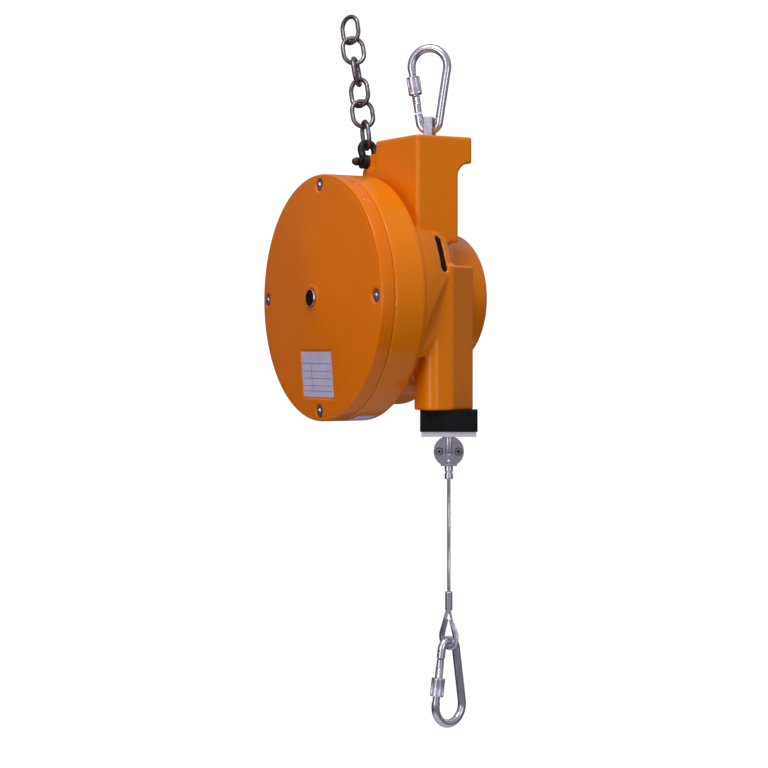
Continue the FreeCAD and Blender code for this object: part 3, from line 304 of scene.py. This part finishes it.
def rubber(name):
    """Moulded black rubber, a little dusty."""
    material, tree, shader = new_material(name)
    dust = noise(tree, 45, 4)
    fine = noise(tree, 1500, 3)
    tree.links.new(ramp(tree, dust, (0.004, 0.004, 0.005), (0.007, 0.007, 0.008)),
                   shader.inputs["Base Color"])
    tree.links.new(ramp(tree, fine, 0.50, 0.68), shader.inputs["Roughness"])
    shader.inputs["Specular IOR Level"].default_value = 0.15
    bump(tree, shader, (fine, 0.0001, 0.3))
    return material


def dull_black(name):
    """Blackened steel with the oxide rubbed thin in places."""
    material, tree, shader = new_material(name)
    cloud = noise(tree, 130, 5)
    fine = noise(tree, 1400, 4)
    tree.links.new(ramp(tree, cloud, (0.018, 0.018, 0.019), (0.07, 0.068, 0.072), 0.40, 0.72),
                   shader.inputs["Base Color"])
    tree.links.new(ramp(tree, fine, 0.42, 0.62), shader.inputs["Roughness"])
    shader.inputs["Metallic"].default_value = 0.75
    bump(tree, shader, (cloud, 0.0004, 0.25), (fine, 0.0001, 0.3))
    return material


def nylon(name):
    """Undyed nylon, slightly translucent."""
    material, tree, shader = new_material(name)
    cloud = noise(tree, 50, 3)
    tree.links.new(ramp(tree, cloud, (0.74, 0.72, 0.66), (0.82, 0.80, 0.74)), shader.inputs["Base Color"])
    tree.links.new(ramp(tree, cloud, 0.38, 0.48), shader.inputs["Roughness"])
    shader.inputs["Subsurface Weight"].default_value = 0.1
    shader.inputs["Subsurface Scale"].default_value = 0.002
    return material


def ink(name):
    """Dark printing ink."""
    material, tree, shader = new_material(name)
    cloud = noise(tree, 400, 3)
    tree.links.new(ramp(tree, cloud, (0.02, 0.02, 0.03), (0.06, 0.06, 0.07)), shader.inputs["Base Color"])
    shader.inputs["Roughness"].default_value = 0.5
    return material


def make_materials():
    """One material for each slot of the record, and a few for pieces that differ within a slot."""
    return {
        "casting": paint("orange_casting", (0.80, 0.200, 0.001), (0.83, 0.212, 0.002)),
        # the cover's orange is the casting's orange made redder and darker: painted shade on the cover's face,
        # which turns away from the key light
        "cover": paint("orange_cover_painted_shade", (0.79, 0.172, 0.001), (0.82, 0.184, 0.002)),
        "plate": sheet_print("label_sheet"),
        "zinc": metal("zinc_plate", (0.66, 0.63, 0.74), (0.78, 0.75, 0.86), 0.27),
        "bright_steel": metal("turned_steel", (0.38, 0.36, 0.43), (0.55, 0.53, 0.61), 0.30,
                              grain=(5, 5, 0.6), depth=0.3),
        "buffer_steel": metal("pale_zinc", (0.86, 0.80, 0.90), (0.92, 0.87, 0.96), 0.50),
        "chrome": metal("dark_chrome", (0.50, 0.47, 0.52), (0.66, 0.62, 0.70), 0.20),
        # near-black steel: painted dark reflection on the axle's front face and painted shade in the stop screws'
        # sockets
        "painted_dark_steel": metal("steel_painted_dark", (0.035, 0.025, 0.02), (0.06, 0.045, 0.035), 0.14),
        "spring_steel": metal("blued_strip", (0.16, 0.18, 0.24), (0.26, 0.28, 0.34), 0.33),
        "black_steel": dull_black("blackened_steel"),
        "chain_steel": metal("drawn_wire", (0.16, 0.14, 0.16), (0.30, 0.27, 0.31), 0.36, depth=0.2),
        "wire_rope": metal("rope_wire", (0.62, 0.60, 0.70), (0.78, 0.75, 0.84), 0.32),
        "drum": metal("turned_alloy", (0.52, 0.52, 0.53), (0.62, 0.62, 0.63), 0.36),
        "rubber": rubber("black_rubber"),
        "nylon": nylon("natural_nylon"),
        "ink": ink("printed_ink"),
    }


# nodes whose material isn't their slot's
SPECIAL_FINISH = {"buffer_plate": "buffer_steel", "cover_screws": "chrome"}
# in millimetres: the voxels of the castings, the width of the other softened edges, how far the
# shackle's faces move out, and how deep the painted dark reflection on the axle's front end goes
CAST_GRAIN = {"housing": 1.7, "front_cover": 1.4}
SOFT_EDGES = {"rubber_buffer": 0.5, "buffer_plate": 0.4}
SHACKLE_SWELL = 0.9
AXLE_FACE_DEPTH = 0.2


def finish_nodes(materials):
    """Every CAD node gets its material; castings, buffer and shackle get softer shapes."""
    slots = {row["node"]: row["material_slot"] for row in frame["record"]["subparts"]}
    for name, node in NODES.items():
        node.data.materials.clear()
        node.data.materials.append(materials[SPECIAL_FINISH.get(name, slots[name])])
    for name, width in SOFT_EDGES.items():
        soften(NODES[name], width)
    for name, grain in CAST_GRAIN.items():
        round_casting(NODES[name], grain)
    # the axle's front end gets near-black steel: a painted dark reflection on its face
    axle = NODES["axle"].data
    axle.materials.append(materials["painted_dark_steel"])
    front = min(vertex.co.y for vertex in axle.vertices)
    for polygon in axle.polygons:
        if polygon.center.y < front + AXLE_FACE_DEPTH * MM:
            polygon.material_index = 1
    swell(NODES["shackle"], SHACKLE_SWELL)


def round_casting(node, grain):
    """Softens every edge of a casting by about the grain's size."""
    remesh = node.modifiers.new("remesh", "REMESH")
    remesh.mode = "VOXEL"
    remesh.voxel_size = grain * MM
    remesh.use_smooth_shade = True
    smooth = node.modifiers.new("smooth", "SMOOTH")
    smooth.factor = 0.5
    smooth.iterations = 3


def swell(node, out):
    """A forging's fuller section: every face moves out by the same distance."""
    weld = node.modifiers.new("weld", "WELD")
    weld.merge_threshold = SMALLEST
    displace = node.modifiers.new("swell", "DISPLACE")
    displace.strength = out * MM
    displace.mid_level = 0


def soften(node, width):
    """Rounds a node's hard edges."""
    weld = node.modifiers.new("weld", "WELD")
    weld.merge_threshold = SMALLEST
    bevel = node.modifiers.new("bevel", "BEVEL")
    bevel.width = width * MM
    bevel.segments = 2
    bevel.limit_method = "ANGLE"
    bevel.angle_limit = math.radians(40)
    bevel.use_clamp_overlap = True
    bevel.harden_normals = True


# ---- pieces made here ------------------------------------------------------------------
def new_piece(name, shape, material, body):
    """A piece from a bmesh, smooth shaded but for its sharp edges, on a body."""
    mesh = bpy.data.meshes.new(name)
    bmesh.ops.recalc_face_normals(shape, faces=shape.faces)
    shape.to_mesh(mesh)
    shape.free()
    mesh.materials.append(material)
    mesh.shade_smooth()
    mesh.set_sharp_from_angle(angle=math.radians(35))
    piece = bpy.data.objects.new(name, mesh)
    bpy.context.scene.collection.objects.link(piece)
    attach(piece, body)
    return piece


def skin(shape, rings):
    """Faces between neighbouring rings, which have as many points each."""
    for first, second in zip(rings, rings[1:]):
        for number in range(len(first)):
            following = (number + 1) % len(first)
            shape.faces.new((first[number], first[following], second[following], second[number]))


def cap(shape, rings):
    """The two end faces of a skin."""
    shape.faces.new(rings[0])
    shape.faces.new(rings[-1])


def add_tube(shape, path, radius, sides=8):
    """A round tube along points, closed at both ends."""
    rings = []
    for point, side, over in frames_on(path):
        rings.append([shape.verts.new(point + spoke(side, over, turn) * radius) for turn in turns(sides)])
    skin(shape, rings)
    cap(shape, rings)


def add_turned(shape, foot, along, profile, sides=32):
    """A solid of revolution: profile pairs are distance along and radius, in millimetres."""
    side, over = frame_along(along)
    rings = []
    for reach, radius in profile:
        place = foot + along * reach * MM
        rings.append([shape.verts.new(place + spoke(side, over, turn) * radius * MM)
                      for turn in turns(sides)])
    skin(shape, rings)
    cap(shape, rings)


def add_box(shape, centre, axes, halves):
    """A box with its own three axes."""
    corners = []
    for signs in ((x, y, z) for x in (-1, 1) for y in (-1, 1) for z in (-1, 1)):
        offset = Vector()
        for axis, half, sign in zip(axes, halves, signs):
            offset += axis * half * sign
        corners.append(shape.verts.new(centre + offset))
    for face in ((0, 1, 3, 2), (4, 6, 7, 5), (0, 4, 5, 1), (2, 3, 7, 6), (0, 2, 6, 4), (1, 5, 7, 3)):
        shape.faces.new([corners[number] for number in face])


def smooth_line(name, points, steps):
    """Points read along a NURBS spline through a route's control points."""
    curve = bpy.data.curves.new(name, "CURVE")
    curve.dimensions = "3D"
    spline = curve.splines.new("NURBS")
    spline.points.add(len(points) - 1)
    for control, point in zip(spline.points, points):
        control.co = (*point, 1)
    spline.order_u = 3
    spline.use_endpoint_u = True
    spline.resolution_u = steps
    holder = bpy.data.objects.new(name, curve)
    bpy.context.scene.collection.objects.link(holder)
    bpy.context.view_layer.update()
    mesh = bpy.data.meshes.new_from_object(holder)
    line = [vertex.co.copy() for vertex in mesh.vertices]
    bpy.data.objects.remove(holder)
    bpy.data.curves.remove(curve)
    bpy.data.meshes.remove(mesh)
    return line


STRANDS = 6
STRAND_OVERLAP = 1.04
LAY_LENGTH = 0.024


def strand_paths(line, rope_radius):
    """Helices of the outer strands round a line, with the strands' own radius."""
    strand = rope_radius / 3
    out = rope_radius - strand
    lengths = [0.0]
    for first, second in zip(line, line[1:]):
        lengths.append(lengths[-1] + (second - first).length)
    paths = [[] for _ in range(STRANDS)]
    for length, (point, side, over) in zip(lengths, frames_on(line)):
        for number, path in enumerate(paths):
            turn = 2 * math.pi * (length / LAY_LENGTH + number / STRANDS)
            path.append(point + spoke(side, over, turn) * out)
    return paths, strand


def make_rope(name, line, radius, material):
    """A laid wire rope of six strands round a core, along a line."""
    shape = bmesh.new()
    paths, strand = strand_paths(line, radius)
    for path in paths:
        add_tube(shape, path, strand * STRAND_OVERLAP)
    add_tube(shape, line, radius - strand, 6)
    return new_piece(name, shape, material, "rope_end")


def make_rope_tail(materials):
    """The bare rope between the stop and the end ferrule, hanging straight."""
    low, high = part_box("rope_tail")
    middle = (low + high) / 2
    radius = (high.x - low.x) / 2
    heights = (high.z, (2 * high.z + low.z) / 3, (high.z + 2 * low.z) / 3, low.z)
    route = [Vector((middle.x, middle.y, height)) for height in heights]
    line = smooth_line("rope_tail_route", route, 48)
    rope = make_rope("rope_tail_strands", line, radius, materials["wire_rope"])
    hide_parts("rope_tail")
    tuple(route[0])
    make_rope_eye(materials, radius)


BOW_STEPS = 60
LEG_STEPS = 24


def make_rope_eye(materials, radius):
    """The rope's eye round the thimble: two straight legs and a round bow between them."""
    low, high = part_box("rope_eye")
    swing = JOINTS["load_hook_swing"]
    plane = Vector(swing["axis"]).cross(UP).normalized()
    centre = Vector(swing["pos_m"])
    bow = centre.z - low.z - radius
    top = Vector((centre.x, centre.y, high.z))
    reach = math.hypot(radius, top.z - centre.z)
    touch = math.acos(bow / reach) + math.atan2(radius, top.z - centre.z)
    turn_start = math.pi / 2 - touch
    line = []
    for number in range(BOW_STEPS + 1):
        turn = turn_start + (-math.pi - 2 * turn_start) * number / BOW_STEPS
        line.append(centre + spoke(plane, UP, turn) * bow)
    first_foot = top + plane * radius
    last_foot = top - plane * radius
    first = [first_foot.lerp(line[0], number / LEG_STEPS) for number in range(LEG_STEPS)]
    last = [line[-1].lerp(last_foot, number / LEG_STEPS) for number in range(1, LEG_STEPS + 1)]
    eye = make_rope("rope_eye_strands", first + line + last, radius, materials["wire_rope"])
    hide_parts("rope_eye")
    return eye


KNURLS = 36
KNURL_DEPTH = 0.35 * MM
SLEEVE_CHAMFER = 0.8 * MM
SLEEVE_PLAIN = 1.6 * MM


def make_knurled_sleeve(hook, materials):
    """The gate's screw sleeve with straight knurling between two plain chamfers."""
    node = f"{hook}_hook_sleeve"
    along = Vector(JOINTS[f"{hook}_sleeve_slide"]["axis"]).normalized()
    side, over = frame_along(along)
    low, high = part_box(node)
    centre = (low + high) / 2
    corners = [vertex.co - centre for vertex in NODES[node].data.vertices]
    half = max(corner.dot(along) for corner in corners)
    radii = [(corner - along * corner.dot(along)).length for corner in corners]
    outer, bore = max(radii), min(radii)
    knurl = half - SLEEVE_PLAIN
    # distance along, radius and whether the knurling cuts it
    profile = [(-half, bore, False), (-half, outer - SLEEVE_CHAMFER, False),
               (-half + SLEEVE_CHAMFER, outer, False), (-knurl, outer, False),
               (-knurl + KNURL_DEPTH, outer, True), (knurl - KNURL_DEPTH, outer, True),
               (knurl, outer, False), (half - SLEEVE_CHAMFER, outer, False),
               (half, outer - SLEEVE_CHAMFER, False), (half, bore, False)]
    shape = bmesh.new()
    rings = []
    for reach, radius, cut in profile:
        ring = []
        for number, turn in enumerate(turns(KNURLS * 4)):
            groove = KNURL_DEPTH if cut and number % 4 == 0 else 0.0
            out = spoke(side, over, turn) * (radius - groove)
            ring.append(shape.verts.new(centre + along * reach + out))
        rings.append(ring)
    skin(shape, rings + rings[:1])
    sleeve = new_piece(f"{hook}_knurled_sleeve", shape, materials["zinc"], f"{hook}_sleeve")
    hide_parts(node)


# ruled lines of the label: left, right and height from its centre, in millimetres
RULES = ((-32, 32, 12.0), (-32, 32, 3.5), (-32, 32, -4.5), (-32, 32, -12.5), (-32, 32, -18.5))
RULE_COLUMN = -12.0
RULE_HALF_WIDTH = 0.22 * MM
RULE_HALF_THICKNESS = 0.02 * MM
FLAT_WITHIN = 0.05 * MM


def make_label_rules(materials):
    """Printed rules on the label: five rows and one column, with nothing written."""
    plate = NODES["rating_plate"]
    fronts = [polygon for polygon in plate.data.polygons if polygon.normal.y < -0.9]
    face = max(fronts, key=lambda polygon: polygon.area)
    normal = face.normal.copy()
    across = X_AXIS
    down = normal.cross(across).normalized()
    if down.z > 0:
        down.negate()
    foot = plate.data.vertices[face.vertices[0]].co
    front = [vertex.co for vertex in plate.data.vertices
             if abs((vertex.co - foot).dot(normal)) < FLAT_WITHIN]
    low = Vector([min(corner[axis] for corner in front) for axis in range(3)])
    high = Vector([max(corner[axis] for corner in front) for axis in range(3)])
    centre = (low + high) / 2 + normal * RULE_HALF_THICKNESS
    shape = bmesh.new()
    axes = (across, down, normal)
    for left, right, height in RULES:
        place = centre + across * (left + right) / 2 * MM - down * height * MM
        add_box(shape, place, axes, ((right - left) / 2 * MM, RULE_HALF_WIDTH, RULE_HALF_THICKNESS))
    top, bottom = RULES[0][2], RULES[-1][2]
    place = centre + across * RULE_COLUMN * MM - down * (top + bottom) / 2 * MM
    add_box(shape, place, axes, (RULE_HALF_WIDTH, (top - bottom) / 2 * MM, RULE_HALF_THICKNESS))
    new_piece("label_rules", shape, materials["ink"], "housing")


# the sticker's two ends round the axis, its edges behind the seam and its two faces off the barrel
STICKER_ARC = (math.radians(-124), math.radians(-72))
STICKER_DEPTHS = (0.008, 0.030)
STICKER_LIFTS = (-0.05 * MM, 0.12 * MM)
STICKER_STEPS = 24


def make_barrel_sticker(materials):
    """A bare sticker round the underside of the barrel."""
    axis = drum_point(0)
    radius = axis.z - min(vertex.co.z for vertex in NODES["front_cover"].data.vertices)
    front, back = STICKER_DEPTHS
    under, over = STICKER_LIFTS
    shape = bmesh.new()
    rings = []
    for number in range(STICKER_STEPS + 1):
        turn = STICKER_ARC[0] + (STICKER_ARC[1] - STICKER_ARC[0]) * number / STICKER_STEPS
        out = spoke(X_AXIS, UP, turn)
        ring = []
        for depth, lift in ((front, under), (back, under), (back, over), (front, over)):
            ring.append(shape.verts.new(axis + out * (radius + lift) + Y_AXIS * depth))
        rings.append(ring)
    skin(shape, rings)
    cap(shape, rings)
    new_piece("barrel_sticker", shape, materials["plate"], "housing")


# the rim's section: radius and depth behind the seam, in millimetres
COVER_CORNER = [(131.5, -17.18), (133.2, -17.17), (134.6, -17.02), (135.3, -16.83), (135.75, -16.35),
                (135.95, -15.6), (135.95, -10.4), (134.8, -10.4), (133.0, -13.2), (131.5, -15.2)]
COVER_STEPS = 180


def make_cover_corner(materials):
    """The crisp rim of the front cover: a ring laid in its rounding."""
    axis = drum_point(0)
    shape = bmesh.new()
    rings = []
    for radius, depth in COVER_CORNER:
        rings.append([shape.verts.new(axis + (spoke(X_AXIS, UP, turn) * radius + Y_AXIS * depth) * MM)
                      for turn in turns(COVER_STEPS)])
    skin(shape, rings + rings[:1])
    new_piece("cover_rim", shape, materials["cover"], "housing")


# the slot's angle round the drum's axis; in metres, its depth behind the seam, half its straight, the
# radius of its ends, and the distance of the dark piece's two faces from the axis
SLOT_TURN = math.radians(22.5)
SLOT_DEPTH = 0.071
SLOT_STRAIGHT = 0.0165
SLOT_RADIUS = 0.0042
SLOT_SPAN = (0.1135, 0.1195)
SLOT_END_STEPS = 12


def make_slot_shade(materials):
    """A black piece behind the inspection slot: painted shade for the slot's shadowed inside."""
    out = spoke(X_AXIS, UP, SLOT_TURN)
    along = spoke(UP, -X_AXIS, SLOT_TURN)
    middle = drum_point(SLOT_DEPTH)
    outline = []
    for end in (1, -1):
        for number in range(SLOT_END_STEPS + 1):
            turn = math.pi * number / SLOT_END_STEPS
            outline.append((along * SLOT_STRAIGHT + spoke(Y_AXIS, along, turn) * SLOT_RADIUS) * end)
    shape = bmesh.new()
    rings = [[shape.verts.new(middle + out * reach + point) for point in outline] for reach in SLOT_SPAN]
    skin(shape, rings)
    cap(shape, rings)
    # the black rubber here is painted shade inside the slot
    new_piece("slot_painted_shade", shape, materials["rubber"], "housing")


# the stop, in metres: its radius, and where its screws sit, forward of its centre and to each side
STOP_RADIUS = 0.0165
STOP_FACE = 0.0051
STOP_SPREAD = 0.0104
# where the ridge's pointed foot and the foot's rim sit, forward of and below the stop's centre
RIDGE_FOOT = (0.0034, 0.0052)
RIM_CENTRE = (0.0042, 0.0150)
RIM_HALVES = (0.0088, 0.0022, 0.0008)
RIDGE_SIDES = 40
# the dark ring behind each screw head is a painted shadow of its recess; this is how far it sits behind the head
SHADOW_RING_SUNK = 0.001
# turned profiles: distance along and radius, in millimetres
RIDGE = [(0, 0.3), (0.35, 1.7), (1.3, 3.2), (2.7, 4.2), (4.6, 4.6), (20.6, 4.6)]
SHADOW_RING = [(0, 4.3), (1.2, 4.3), (1.6, 3.9)]
SCREW_HEAD = [(0, 3.4), (2.2, 3.4), (2.8, 2.9), (2.8, 1.7), (1.2, 1.6)]
SOCKET_SHADE = [(1.0, 1.65), (1.35, 1.65)]


def make_stop_details(materials):
    """The ridge over the rope, the foot and the screws' heads on the front of the stop; a dark ring behind each
    head is a painted shadow of its recess, and a dark disc in each socket is painted shade.
    """
    axis = JOINTS["load_hook_swing"]["pos_m"]
    low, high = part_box("stop_front_half")
    back_low, back_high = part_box("stop_back_half")
    centre = Vector((axis[0], axis[1], high.z - STOP_RADIUS))
    front = (low + high) / 2 - (back_low + back_high) / 2
    front.z = 0
    front.normalize()
    across = UP.cross(front)

    def turned(name, foot, along, profile, finish, sides=32):
        shape = bmesh.new()
        add_turned(shape, foot, along, profile, sides)
        new_piece(name, shape, materials[finish], "rope_end")

    forward, below = RIDGE_FOOT
    turned("stop_ridge", centre + front * forward - UP * below, UP, RIDGE, "zinc", RIDGE_SIDES)
    forward, below = RIM_CENTRE
    shape = bmesh.new()
    add_box(shape, centre + front * forward - UP * below, (across, front, UP), RIM_HALVES)
    new_piece("stop_foot_rim", shape, materials["zinc"], "rope_end")
    for name, side in (("left", -1), ("right", 1)):
        place = centre + front * STOP_FACE + across * side * STOP_SPREAD
        under = place - front * SHADOW_RING_SUNK
        # a dark ring behind the head: painted shadow of the recess round it
        turned(f"stop_shadow_ring_{name}", under, front, SHADOW_RING, "black_steel")
        turned(f"stop_head_{name}", place, front, SCREW_HEAD, "chrome")
        # a near-black disc at the bottom of the socket: painted shade in the recess
        turned(f"stop_socket_shade_{name}", place, front, SOCKET_SHADE, "painted_dark_steel")


# the pin from its plain end out to its eye: distance from the collar's seat and radius, in millimetres
PIN_HEAD = [(-22.5, 3.0), (0, 3.0), (0.05, 4.5), (2.0, 4.5), (2.5, 3.5), (3.7, 3.3),
            (5.0, 4.4), (7.0, 4.8), (9.5, 4.0), (11.3, 2.8), (11.9, 1.6)]
SEAT_SUNK = 0.0017


def make_shackle_pin(materials):
    """The shackle's screw pin: collar, neck and a flattened eye seen on its edge."""
    low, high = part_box("shackle_pin")
    centre = (low + high) / 2
    seat = Vector((centre.x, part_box("shackle")[0].y + SEAT_SUNK, centre.z))
    shape = bmesh.new()
    add_turned(shape, seat, -Y_AXIS, PIN_HEAD)
    pin = new_piece("shackle_screw_pin", shape, materials["black_steel"], "housing")
    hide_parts("shackle_pin")


# the head: the hole's radius, its thickness, half its width, and its reach above and below the hole
STUD_BORE = 6.5 * MM
STUD_WIDTH = 11.0 * MM
STUD_HALF_WIDTH = 10.5 * MM
STUD_RISE = 13.0 * MM
STUD_DROP = 9.2 * MM
# sections across the head, which chamfer its edges: shares of its width and of its full outline
STUD_SECTIONS = ((-0.5, 0.90), (-0.42, 1.0), (0.42, 1.0), (0.5, 0.90))
STUD_STEPS = 96
# the shank, in millimetres: radii at its chamfered end, chamfer, and how far it runs into the head
SHANK_RADII = (5.2, 6.0)
SHANK_CHAMFER = 0.8
SHANK_SUNK = 0.5


def stud_reach(turn):
    """How far the square head reaches from the middle of its hole at an angle."""
    limit = STUD_RISE if math.sin(turn) > 0 else STUD_DROP
    return min(STUD_HALF_WIDTH / abs(math.cos(turn)), limit / abs(math.sin(turn)))


def make_stud(materials):
    """The swivel stud: a square-topped post with a cross hole for the hook, and its shank."""
    swing = JOINTS["suspension_hook_swing"]
    axis = Vector(swing["axis"]).normalized()
    centre = Vector(swing["pos_m"])
    side = UP.cross(axis).normalized()
    shape = bmesh.new()
    outers = []
    bores = []
    for depth, pinch in STUD_SECTIONS:
        middle = centre + axis * depth * STUD_WIDTH
        outer = []
        bore = []
        for start in turns(STUD_STEPS):
            turn = start + math.pi / STUD_STEPS
            out = spoke(side, UP, turn)
            outer.append(shape.verts.new(middle + out * stud_reach(turn) * pinch))
            bore.append(shape.verts.new(middle + out * STUD_BORE * (2 - pinch)))
        outers.append(outer)
        bores.append(bore)
    skin(shape, outers + bores[::-1] + outers[:1])
    foot = Vector((centre.x, centre.y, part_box("swivel_stud")[0].z))
    reach = (centre.z - STUD_DROP - foot.z) / MM + SHANK_SUNK
    tip, full = SHANK_RADII
    add_turned(shape, foot, UP, [(0, tip), (SHANK_CHAMFER, full), (reach, full)])
    stud = new_piece("swivel_stud_post", shape, materials["bright_steel"], "stud")
    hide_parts("swivel_stud")


THREAD_RINGS = 6
# shares of the pitch at which a ring's crest starts and ends
THREAD_FLANKS = (0.5, 0.6)
# in millimetres, with the start measured from the middle of the sleeve
THREAD_PITCH = 1.7
THREAD_START = 11.2
THREAD_LEAD = 0.2
THREAD_ROOT = 4.05
THREAD_CREST = 4.5
THREAD_UNDER = 3.4


def make_gate_thread(hook, materials):
    """The gate's screw thread beside the sleeve, as rings of a fine pitch."""
    along = Vector(JOINTS[f"{hook}_sleeve_slide"]["axis"]).normalized()
    low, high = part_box(f"{hook}_hook_sleeve")
    profile = [(THREAD_START - THREAD_LEAD, THREAD_UNDER)]
    for number in range(THREAD_RINGS):
        foot = THREAD_START + number * THREAD_PITCH
        profile.append((foot, THREAD_ROOT))
        profile += [(foot + share * THREAD_PITCH, THREAD_CREST) for share in THREAD_FLANKS]
    profile.append((THREAD_START + THREAD_RINGS * THREAD_PITCH, THREAD_UNDER))
    shape = bmesh.new()
    add_turned(shape, (low + high) / 2, along, profile)
    new_piece(f"{hook}_gate_thread", shape, materials["zinc"], f"{hook}_gate")


make_camera()
for light in LIGHTS:
    area_light(*light)
make_world()
make_floor()
MATERIALS = make_materials()
finish_nodes(MATERIALS)
make_rope_tail(MATERIALS)
make_knurled_sleeve("suspension", MATERIALS)
make_knurled_sleeve("load", MATERIALS)
make_label_rules(MATERIALS)
make_barrel_sticker(MATERIALS)
make_slot_shade(MATERIALS)
make_cover_corner(MATERIALS)
make_stop_details(MATERIALS)
make_shackle_pin(MATERIALS)
make_stud(MATERIALS)
make_gate_thread("suspension", MATERIALS)
make_gate_thread("load", MATERIALS)
